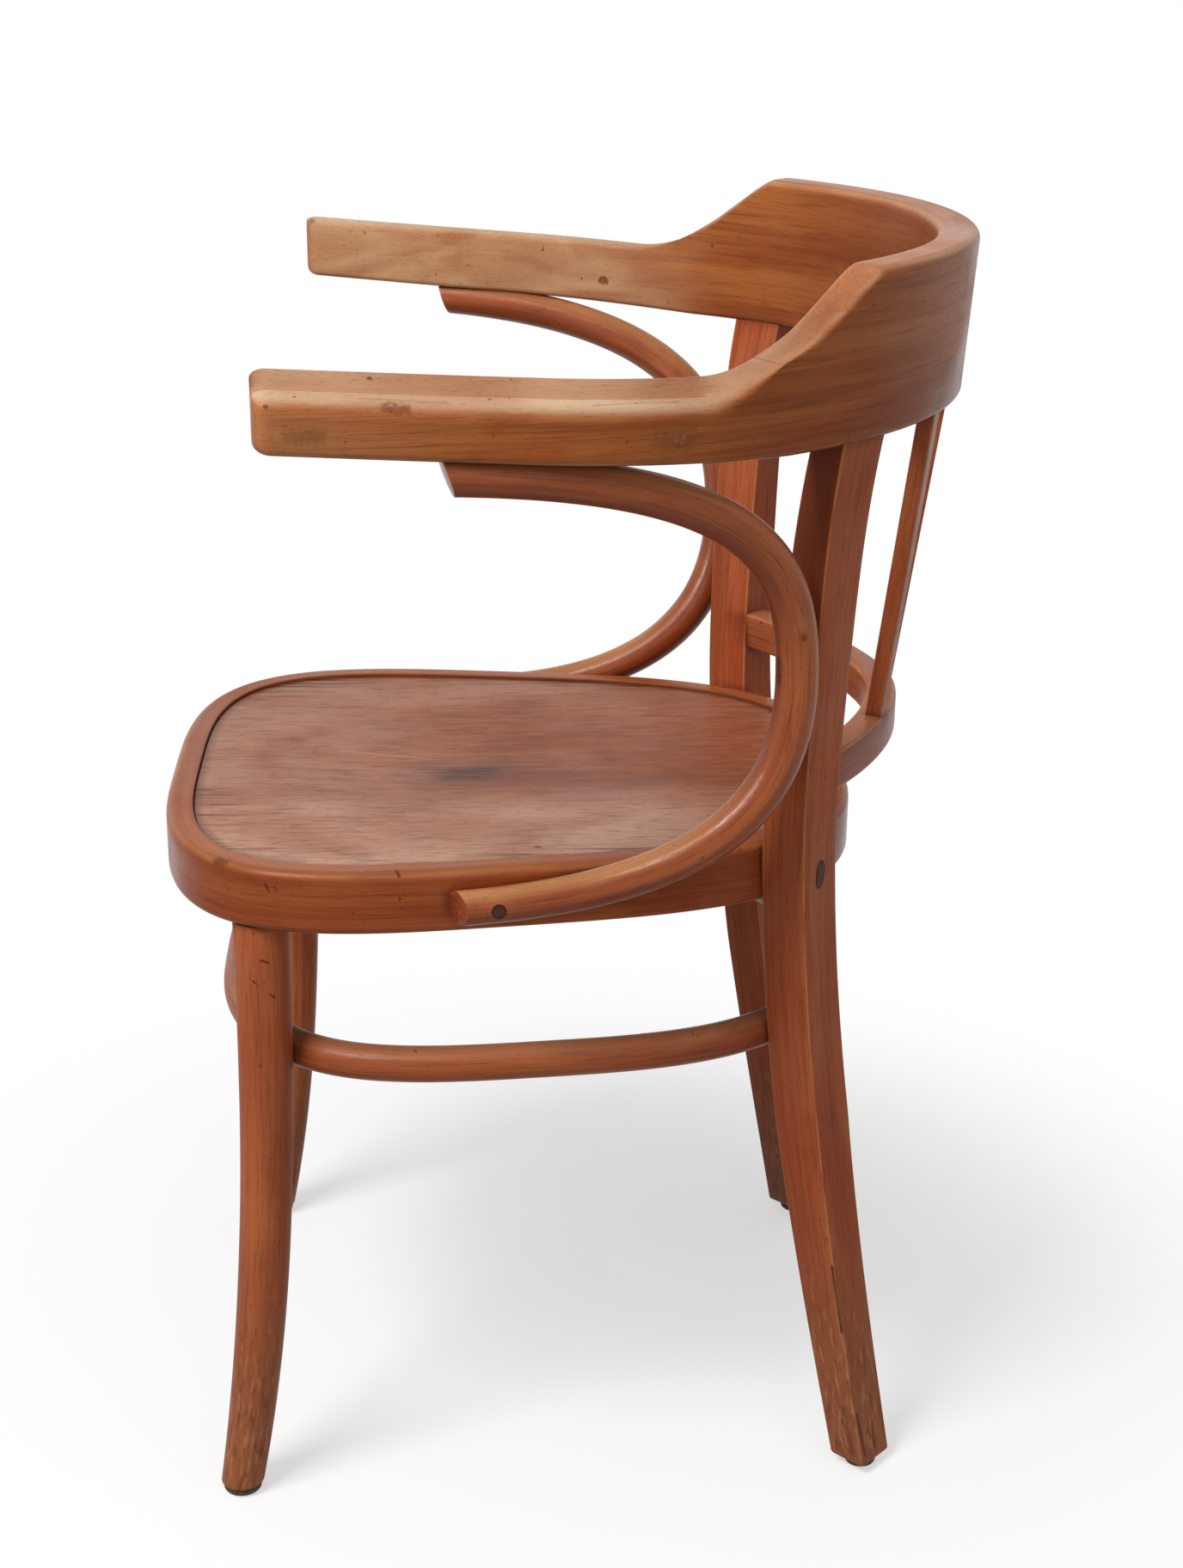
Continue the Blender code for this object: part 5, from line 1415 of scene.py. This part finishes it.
def seat_panel(count=200, rims=34):
    """A dished disc with a rounded rim and a flat underside."""
    angles = seat_angles(count)
    rim = [seat_point(a) - seat_normal(a) * (RING_LIP + FIT) for a in angles]
    inward = [-seat_normal(a) for a in angles]
    middle = Vector((0.0, -SEAT_FORWARD, 0.0))
    rows, edges = [], []
    for i in range(EDGE_STEPS + 1):
        turn = math.radians(90 * i / EDGE_STEPS)
        inset = PANEL_EDGE * (1 - math.sin(turn))
        height = PANEL_TOP - PANEL_EDGE * (1 - math.cos(turn))
        rows.insert(0, [p + n * inset + UP * height for p, n in zip(rim, inward)])
        edges.insert(0, [1.0] * count)
    rows.insert(0, [p + UP * (PANEL_TOP - PANEL_THICKNESS) for p in rim])
    edges.insert(0, [1.0] * count)
    inner = [p + n * PANEL_EDGE for p, n in zip(rim, inward)]
    for i in range(1, rims):
        share = 1 - i / rims
        sink = PANEL_DISH * (1 - share * share) ** 2
        rows.append([middle + (p - middle) * share + UP * (PANEL_TOP - sink) for p in inner])
        edges.append([share ** 6] * count)
    return loft(rows, rows, edges)


settle("seat_panel_wood", seat_panel(), WORN_PANEL, "seat_wood", "seat_panel")

# %% [markdown]
# ## Lower rail and spindles
# A bowed rail is tenoned between the posts, and square spindles stand between it and the bow. All
# are sweeps of a square section with eased edges. Copies of one spindle would not do, because each
# leans its own way, so they are three chains in one base mesh, and the tree makes all of them.

# %% Lower rail
RAIL_END = post_centre(RAIL_TOP - RAIL_HEIGHT / 2) - POST_OUT * RAIL_SETBACK
RAIL_SAG = RAIL_BACK_Y - RAIL_END.y
RAIL_STEPS = 90
RAIL_SEED = 13


def rail_point(x):
    """Point of the rail's middle line, bent forward to both posts."""
    return Vector((x, RAIL_BACK_Y - RAIL_SAG * abs(x / RAIL_END.x) ** RAIL_BEND, 0.0))


def rail_normal(x):
    """Direction straight out of the rail."""
    slope = RAIL_SAG * RAIL_BEND * abs(x / RAIL_END.x) ** (RAIL_BEND - 1) / RAIL_END.x
    return Vector((math.copysign(slope, x), 1.0, 0.0)).normalized()


def square_profile(name, width, height, arris):
    section = rounded(width, height, arris, arris, steps=4, flats=3)
    return profile(name, [(a, up - height / 2) for a, up, _ in section], [edge for _, _, edge in section])


def back_rail():
    """The rail, swept left to right so that its section's y points up."""
    turns = [math.radians(90 - 180 * i / RAIL_STEPS) for i in range(RAIL_STEPS + 1)]
    places = [-RAIL_END.x * math.sin(turn) for turn in turns]
    middle = UP * (RAIL_TOP - RAIL_HEIGHT / 2)
    points = [rail_point(x) + middle for x in places]
    base = chain(points, [rail_normal(x) for x in places], [1.0] * len(places))
    section = square_profile("rail_section", RAIL_THICKNESS, RAIL_HEIGHT, RAIL_ARRIS)
    return grow(BENT_MEMBER, base, Profile=section, Offset=offset(RAIL_SEED), Finish=BACK_BEECH)


settle("lower_rail_wood", back_rail(), BACK_BEECH, "frame_wood", "lower_back_rail")

# %% Spindles
SPINDLE_ARRIS = 0.0012
SPINDLE_SEED = 14


def spindle_ends(number):
    """Foot, head and facing of one spindle, counted from the right."""
    place = number - (SPINDLES - 1) / 2
    foot_x, head_at = place * SPINDLE_FOOT_PITCH, place * SPINDLE_HEAD_PITCH
    foot = rail_point(foot_x) + rail_normal(foot_x) * SPINDLE_FOOT_OUT + UP * RAIL_TOP
    head = bow_point(head_at) + bow_normal(head_at) * SPINDLE_HEAD_OUT + UP * BOW_BOTTOM
    return foot, head, bow_normal(head_at)


def spindles(steps=48):
    """Three chains in one base mesh, swept together."""
    points, facings, edges = [], [], []
    for number in range(SPINDLES):
        foot, head, facing = spindle_ends(number)
        run = (head - foot).normalized() * SPINDLE_SOCKET
        first = len(points)
        points += [(foot - run).lerp(head + run, i / steps) for i in range(steps + 1)]
        facings += [facing] * (steps + 1)
        edges += [(first + i, first + i + 1) for i in range(steps)]
    base = bpy.data.meshes.new("spindle_paths")
    base.from_pydata([tuple(point) for point in points], edges, [])
    store_points(base, "facing", [tuple(facing) for facing in facings])
    store_points(base, "thick", [1.0] * len(points))
    section = square_profile("spindle_section", SPINDLE_SIDE, SPINDLE_SIDE, SPINDLE_ARRIS)
    return grow(BENT_MEMBER, base, Profile=section, Offset=offset(SPINDLE_SEED), Finish=BACK_BEECH)


spindle_solids = [f"back_spindle_{i + 1}" for i in range(SPINDLES)]
settle("spindle_wood", spindles(), BACK_BEECH, "frame_wood", *spindle_solids)

# %% [markdown]
# ## Arm hoops
# Each hoop is a rod bent from under the arm, round past the post and back along the seat ring. Two
# Bezier curves meet at the post, and the rod thins toward both ends. Both ends are sawn at a slant.
# Their varnish carries a long shine down the front bend. It could be painted on, but a narrow lamp
# that lights the hoops' gloss and nothing else, by light linking, moves with the view as a shine does.

# %% Arm hoops
SHINE_POWER = 48.0
SHINE_FROM = (0.98, -1.70, 1.20)
SHINE_AT = (0.2, 0.1, 0.5)
SHINE_WIDTH = 0.30
SHINE_HEIGHT = 1.0
HOOP_SEED = 17
THIN_AT = (0.0, 0.5, 1.4, 2.0)


def hoop_curves():
    """The left hoop's two curves: tip to post, and post to seat ring."""
    tip = bow_point(HOOP_TIP_AT) + UP * (bow_bottom(HOOP_TIP_AT) - HOOP_TIP_RADIUS + HOOP_FLAT)
    off = post_size(HOOP_REAR_HEIGHT)[1] / 2 + HOOP_RADIUS + FIT
    rear = post_centre(HOOP_REAR_HEIGHT) + POST_FACE * off + POST_OUT * HOOP_REAR_SHIFT
    turn = seat_angle_at(HOOP_END_Y)
    end = seat_point(turn) + seat_normal(turn) * (HOOP_END_RADIUS - HOOP_END_FLAT) + UP * RING_MIDDLE
    upper = (tip, tip + HOOP_TIP_HANDLE, rear + HOOP_REAR_UP, rear)
    lower = (rear, rear + HOOP_REAR_DOWN, end + HOOP_END_HANDLE, end)
    return upper, lower


HOOP_UPPER, HOOP_LOWER = hoop_curves()


def arm_hoop(side, seed, steps=70):
    """One hoop, swept by the tree, both ends sawn at a slant."""
    points = [bezier(*HOOP_UPPER, i / steps) for i in range(steps)]
    points += [bezier(*HOOP_LOWER, i / steps) for i in range(steps + 1)]
    run = np.linspace(0.0, 2.0, len(points))
    thin = (HOOP_TIP_RADIUS, HOOP_RADIUS, HOOP_RADIUS, HOOP_END_RADIUS)
    radii = [HOOP_TIP_RADIUS] + list(np.interp(run, THIN_AT, thin)) + [HOOP_END_RADIUS]
    lead, tail = (points[0] - points[1]).normalized(), (points[-1] - points[-2]).normalized()
    points.insert(0, points[0] + lead * HOOP_TIP_RADIUS)
    points.append(points[-1] + tail * HOOP_END_RADIUS)
    base = chain([mirrored(p, side) for p in points], [(side, 0.0, 0.0)] * len(points), radii)
    mesh = grow(BENT_MEMBER, base, Profile=ROUND, Offset=offset(seed), Finish=HOOP_BEECH)
    slant = math.radians(HOOP_TIP_SLANT)
    plane = lead * math.cos(slant) - UP * math.sin(slant)
    saw(mesh, mirrored(HOOP_UPPER[0], side), mirrored(plane, side))
    slant, out = math.radians(HOOP_END_SLANT), seat_normal(seat_angle_at(HOOP_END_Y))
    plane = tail * math.cos(slant) + out * math.sin(slant)
    saw(mesh, mirrored(HOOP_LOWER[3], side), mirrored(plane, side))
    ease(mesh)
    return mesh


hoops = bpy.data.collections.new("hoops")
for label, side in SIDES:
    mesh = arm_hoop(side, HOOP_SEED + side)
    hoop = settle(f"arm_hoop_wood_{label}", mesh, HOOP_BEECH, "frame_wood", f"arm_hoop_{label}")
    hoops.objects.link(hoop)
strip = lamp("shine_strip", SHINE_FROM, SHINE_AT, SHINE_WIDTH, SHINE_HEIGHT, SHINE_POWER, True)
strip.light_linking.receiver_collection = hoops

# %% [markdown]
# ## Stretcher ring
# A rod bent into a closed ring ties the four legs, let into each of them. A circle would miss the
# legs, which stand in a taper, so its path is a rounded square through the four contacts, with the
# front drawn a little forward.

# %% Stretcher ring
STRETCHER_SEED = 21
STRETCHER_START = math.radians(135)
FRONT_HALF_ANGLE = math.radians(45)


def stretcher_contacts():
    """Where the stretcher's middle line passes the left front leg and the left post."""
    front_way = Vector((1.0, -1.0, 0.0)).normalized()
    reach = leg_radius(STRETCHER_HEIGHT) + STRETCHER_RADIUS - STRETCHER_HOUSING
    front = leg_centre(STRETCHER_HEIGHT) - front_way * reach
    reach = post_size(STRETCHER_HEIGHT)[0] / 2 + STRETCHER_RADIUS - STRETCHER_HOUSING
    return (front, front_way), (post_centre(STRETCHER_HEIGHT) - POST_OUT * reach, POST_OUT)


STRETCHER_CONTACTS = stretcher_contacts()


def stretcher_path(steps=240):
    """Rounded ring through the four contacts, which lie on its diagonals."""
    front, rear = STRETCHER_CONTACTS[0][0], STRETCHER_CONTACTS[1][0]
    diagonal = 0.5 ** (1 / STRETCHER_SQUARENESS)
    half_depth = (rear.y - front.y) / 2 / diagonal
    half_width = (rear.x + front.x) / 2 / diagonal
    taper = (front.x - rear.x) / (rear.y - front.y) / diagonal
    middle = Vector((0.0, (rear.y + front.y) / 2, STRETCHER_HEIGHT))
    path = []
    for i in range(steps):
        turn = 2 * math.pi * i / steps + STRETCHER_START
        point = bent_ring(turn, half_width, half_depth, STRETCHER_SQUARENESS, taper) + middle
        if math.cos(turn) > math.cos(FRONT_HALF_ANGLE):
            point.y -= STRETCHER_FRONT_BULGE * math.cos(2 * turn) ** 2
        path.append(point)
    return path


path = stretcher_path()
base = chain(path, [UP] * len(path), [STRETCHER_RADIUS] * len(path), True)
mesh = grow(BENT_MEMBER, base, Profile=ROUND, Offset=offset(STRETCHER_SEED), Finish=STRETCHER_BEECH)
settle("stretcher_wood", mesh, STRETCHER_BEECH, "frame_wood", "stretcher_ring")

# %% [markdown]
# ## Screws, pins, plugs and glides
# The small pieces repeat, so each kind is modelled once in a tree and set on points that carry its
# direction and the sizes that differ. Sizes that all copies share are inputs of the tree. A loop over
# copies would work, but here one tree shows the whole screw: a head with a slot, and a shank that
# is stretched to each length.

# %% Trees for the small pieces
SCREW_SIZES = {
    "HeadRadius": 0.0040,
    "HeadDepth": 0.0025,
    "ShankRadius": 0.0022,
    "SlotWidth": 0.0012,
    "SlotDepth": 0.0011}
GLIDE_SIZES = {"Radius": GLIDE_RADIUS, "Height": GLIDE_HEIGHT}


def small_tree(name, sizes=()):
    """An empty tree for a small piece, with one named input for each size."""
    return new_tree(name, Finish="NodeSocketMaterial", **dict.fromkeys(sizes, "NodeSocketFloat"))


def set_on_points(graph, points, shape, scale):
    """Stand a shape on each point, its z along the stored axis and its y upright."""
    turn = graph.add("FunctionNodeAxesToRotation", named(graph, "axis", "FLOAT_VECTOR"), (0.0, 0.0, 1.0),
                     primary_axis="Z", secondary_axis="Y").outputs[0]
    made = graph.add("GeometryNodeInstanceOnPoints", points, None, shape)
    graph.put(made.inputs["Rotation"], turn)
    graph.put(made.inputs["Scale"], scale)
    return made.outputs[0]


def raised(graph, shape, height):
    """A shape moved up its own z."""
    made = graph.add("GeometryNodeTransform", shape)
    graph.put(made.inputs["Translation"], graph.add("ShaderNodeCombineXYZ", 0.0, 0.0, height).outputs[0])
    return made.outputs[0]


def joined(graph, *shapes):
    """Several shapes in one."""
    made = graph.add("GeometryNodeJoinGeometry")
    for shape in shapes:
        graph.put(made.inputs[0], shape)
    return made.outputs[0]


def screw_tree():
    """Slotted screws. The axis runs into the wood from the head's face."""
    tree, graph, source, sink = small_tree("slotted_screws", SCREW_SIZES)
    size = source.outputs
    head = graph.add("GeometryNodeMeshCylinder", 28, 1, 1, size["HeadRadius"], size["HeadDepth"])
    head = raised(graph, head.outputs["Mesh"], graph.times(size["HeadDepth"], 0.5))
    length, depth = graph.times(size["HeadRadius"], 3.0), graph.times(size["SlotDepth"], 2.0)
    slot = graph.add("ShaderNodeCombineXYZ", length, size["SlotWidth"], depth).outputs[0]
    cut = graph.add("GeometryNodeMeshBoolean", head, operation="DIFFERENCE")
    graph.put(cut.inputs["Mesh 2"], graph.add("GeometryNodeMeshCube", slot).outputs["Mesh"])
    shank = graph.add("GeometryNodeMeshCylinder", 16, 1, 1, size["ShankRadius"], 1.0).outputs["Mesh"]
    stretch = graph.add("ShaderNodeCombineXYZ", 1.0, 1.0, named(graph, "length")).outputs[0]
    heads = set_on_points(graph, size["Geometry"], cut.outputs["Mesh"], (1.0, 1.0, 1.0))
    shanks = set_on_points(graph, size["Geometry"], raised(graph, shank, 0.5), stretch)
    close_tree(graph, joined(graph, heads, shanks), source.outputs["Finish"], sink)
    return tree


def pin_tree():
    """Pins and plugs: round rods whose points store a thickness, a length and an upright stretch."""
    tree, graph, source, sink = small_tree("pins")
    rod = graph.add("GeometryNodeMeshCylinder", 36, 1, 3, 1.0, 1.0).outputs["Mesh"]
    rod = store(graph, rod, "grain", graph.add("GeometryNodeInputPosition").outputs[0], "FLOAT_VECTOR")
    thick = named(graph, "thick")
    tall = graph.times(thick, named(graph, "stretch"))
    size = graph.add("ShaderNodeCombineXYZ", thick, tall, named(graph, "length")).outputs[0]
    pins = set_on_points(graph, source.outputs["Geometry"], raised(graph, rod, 0.5), size)
    close_tree(graph, pins, source.outputs["Finish"], sink)
    return tree


def glide_tree():
    """Round pads, a little wider at the middle of their height."""
    tree, graph, source, sink = small_tree("glides", GLIDE_SIZES)
    height = source.outputs["Height"]
    half = graph.times(height, 0.5)
    flat = graph.math("SUBTRACT", source.outputs["Radius"], half)
    ring = graph.add("GeometryNodeCurvePrimitiveCircle", 40).outputs[0]
    graph.put(ring.node.inputs["Radius"], flat)
    edge = graph.add("GeometryNodeCurvePrimitiveCircle", 16).outputs[0]
    graph.put(edge.node.inputs["Radius"], half)
    rim = graph.add("GeometryNodeCurveToMesh", ring, edge, 1.0).outputs[0]
    core = graph.add("GeometryNodeMeshCylinder", 40, 1, 2, flat, height).outputs["Mesh"]
    pad = raised(graph, joined(graph, rim, core), half)
    spread = graph.add("ShaderNodeCombineXYZ", named(graph, "wide"), named(graph, "wide"), 1.0).outputs[0]
    pads = set_on_points(graph, source.outputs["Geometry"], pad, spread)
    close_tree(graph, pads, source.outputs["Finish"], sink)
    return tree


SCREWS, PINS, GLIDES = screw_tree(), pin_tree(), glide_tree()
print("small trees:", SCREWS.name, PINS.name, GLIDES.name)

# %% Places of the small pieces
SCREW_BITE = 0.016
SCREW_SINK = 0.0025
PLUG_UP = 0.004
PLUG_DEPTH = 0.007
PLUG_RADIUS = 0.0040
PLUG_STRETCH = 2.4
PLUG_SPAN = 0.01
HOOP_PLUG_DEPTH = 0.004
HOOP_PLUG_RADIUS = 0.0045
HOOP_PLUG_Y = -0.016
PROUD = 0.0004
ARM_SCREW_AT = 0.425
ARM_PIN_AT = 0.342
ARM_PIN_UP = 0.015
ARM_PIN_RADIUS = 0.004
PIN_PROUD = 0.0001
DOWEL_DEPTH = 0.018
DOWEL_RADIUS = 0.005


def post_joint(side):
    """The plug's face on the post, the way into the seat ring, and the post's width there."""
    height = RING_MIDDLE + PLUG_UP
    heights = (height - PLUG_SPAN, height + PLUG_SPAN)
    low, high = [post_centre(h) + POST_OUT * (post_size(h)[0] / 2) for h in heights]
    out = (high - low).cross(POST_FACE).normalized()
    return mirrored((low + high) / 2 + out * PROUD, side), mirrored(-out, side), post_size(height)[0]


def hoop_joint(side):
    """The plug's face on the hoop and the way into the seat ring."""
    out = seat_normal(seat_angle_at(HOOP_PLUG_Y))
    middle = bezier(*HOOP_LOWER, 1 - (HOOP_PLUG_Y - HOOP_END_Y) / HOOP_END_HANDLE.y / 3)
    return mirrored(middle + out * (HOOP_END_RADIUS + PROUD), side), mirrored(-out, side)


screws, plugs, pins = [], [], []


def list_plugged_screws(label, side):
    """The screws into the seat ring, and the plugs over them."""
    face, way, width = post_joint(side)
    plugs.append((f"post_plug_{label}", (face, way), PLUG_DEPTH, PLUG_RADIUS, PLUG_STRETCH))
    length = width - POST_HOUSING - PLUG_DEPTH + SCREW_BITE
    screws.append((f"post_screw_{label}", (face + way * (PLUG_DEPTH + 2 * FIT), way), length))
    face, way = hoop_joint(side)
    plugs.append((f"hoop_plug_{label}", (face, way), HOOP_PLUG_DEPTH, HOOP_PLUG_RADIUS, 1.0))
    length = 2 * HOOP_END_RADIUS - HOOP_END_FLAT - HOOP_PLUG_DEPTH + SCREW_BITE
    screws.append((f"hoop_seat_screw_{label}", (face + way * (HOOP_PLUG_DEPTH + 2 * FIT), way), length))


def list_open_screws(label, side):
    """The hoop's screws into the arm and the post, and the stretcher's into the legs."""
    share = (HOOP_TIP_AT - ARM_SCREW_AT) / HOOP_TIP_HANDLE[1] / 3
    below = bezier(*HOOP_UPPER, share) - UP * (HOOP_TIP_RADIUS - SCREW_SINK)
    length = bow_bottom(ARM_SCREW_AT) - below.z + SCREW_BITE
    screws.append((f"hoop_arm_screw_{label}", (mirrored(below, side), UP), length))
    into = mirrored(-POST_FACE, side)
    front = mirrored(HOOP_LOWER[0], side) - into * (HOOP_RADIUS - SCREW_SINK)
    length = 2 * HOOP_RADIUS - SCREW_SINK + FIT + SCREW_BITE
    screws.append((f"hoop_post_screw_{label}", (front, into), length))
    for spot, (middle, way) in zip(("front", "back"), STRETCHER_CONTACTS):
        out = mirrored(way, side)
        inner = mirrored(middle, side) - out * (STRETCHER_RADIUS - SCREW_SINK)
        length = 2 * STRETCHER_RADIUS - SCREW_SINK + SCREW_BITE
        screws.append((f"stretcher_screw_{spot}_{label}", (inner, out), length))


def list_pins(label, side):
    """The pin across the arm and the dowel in the post's head."""
    at = ARM_PIN_AT * side
    out = bow_normal(at)
    tilt = LEAN * (1 - arm_share(at)) * ARM_PIN_UP
    reach = BOW_THICKNESS / 2 + tilt + PIN_PROUD
    outer = bow_point(at) + out * reach + UP * (bow_bottom(at) + ARM_PIN_UP)
    length = BOW_THICKNESS + 2 * PIN_PROUD
    pins.append((f"arm_pin_{label}", (outer, -out), length, ARM_PIN_RADIUS, 1.0))
    foot = mirrored(post_centre(POST_HEAD), side) - UP * DOWEL_DEPTH
    pins.append((f"post_dowel_{label}", (foot, UP), 2 * DOWEL_DEPTH, DOWEL_RADIUS, 1.0))


for label, side in SIDES:
    list_plugged_screws(label, side)
    list_open_screws(label, side)
    list_pins(label, side)
print("screws:", len(screws), "plugs:", len(plugs), "pins:", len(pins))

# %% Screws, plugs, pins and glides
FRONT_GLIDE_WIDE = 1.19


def scatter(tree, finish, spots, stored, **sizes):
    """Run a small tree on spots of (place, axis). Stored gives each spot a number, by name."""
    base = bpy.data.meshes.new("spots")
    base.from_pydata([tuple(place) for place, _ in spots], [], [])
    store_points(base, "axis", [tuple(axis) for _, axis in spots])
    for label, values in stored.items():
        store_points(base, label, values)
    return grow(tree, base, Finish=finish, **sizes)


def column(rows, number):
    """One column of a list of rows."""
    return [row[number] for row in rows]


metal = scatter(SCREWS, DULL_STEEL, column(screws, 1), {"length": column(screws, 2)}, **SCREW_SIZES)
settle("screw_metal", metal, DULL_STEEL, "screw_steel", *column(screws, 0))
for name, rods, finish in (("plug_ends", plugs, PLUG_FACE), ("pin_wood", pins, PIN_WOOD)):
    stored = {"length": column(rods, 2), "thick": column(rods, 3), "stretch": column(rods, 4)}
    mesh = scatter(PINS, finish, column(rods, 1), stored)
    settle(name, mesh, finish, "plug_wood", *column(rods, 0))
feet = []
for label, side in SIDES:
    ends = (("front", leg_centre(FOOT_CUT), FRONT_GLIDE_WIDE), ("back", post_centre(FOOT_CUT), 1.0))
    for spot, centre, wide in ends:
        place = Vector((centre.x * side, centre.y, 0.0))
        feet.append((f"glide_{spot}_{label}", (place, UP), wide))
pads = scatter(GLIDES, GLIDE_RUBBER, column(feet, 1), {"wide": column(feet, 2)}, **GLIDE_SIZES)
settle("glide_pads", pads, GLIDE_RUBBER, "glide_rubber", *column(feet, 0))

# %% [markdown]
# ## Clearing up
# The section loops were only guides for the trees, so they go.

# %% Clear up and finish
for guide in [thing for thing in bpy.data.objects if thing.name.endswith("_section")]:
    bpy.data.objects.remove(guide)
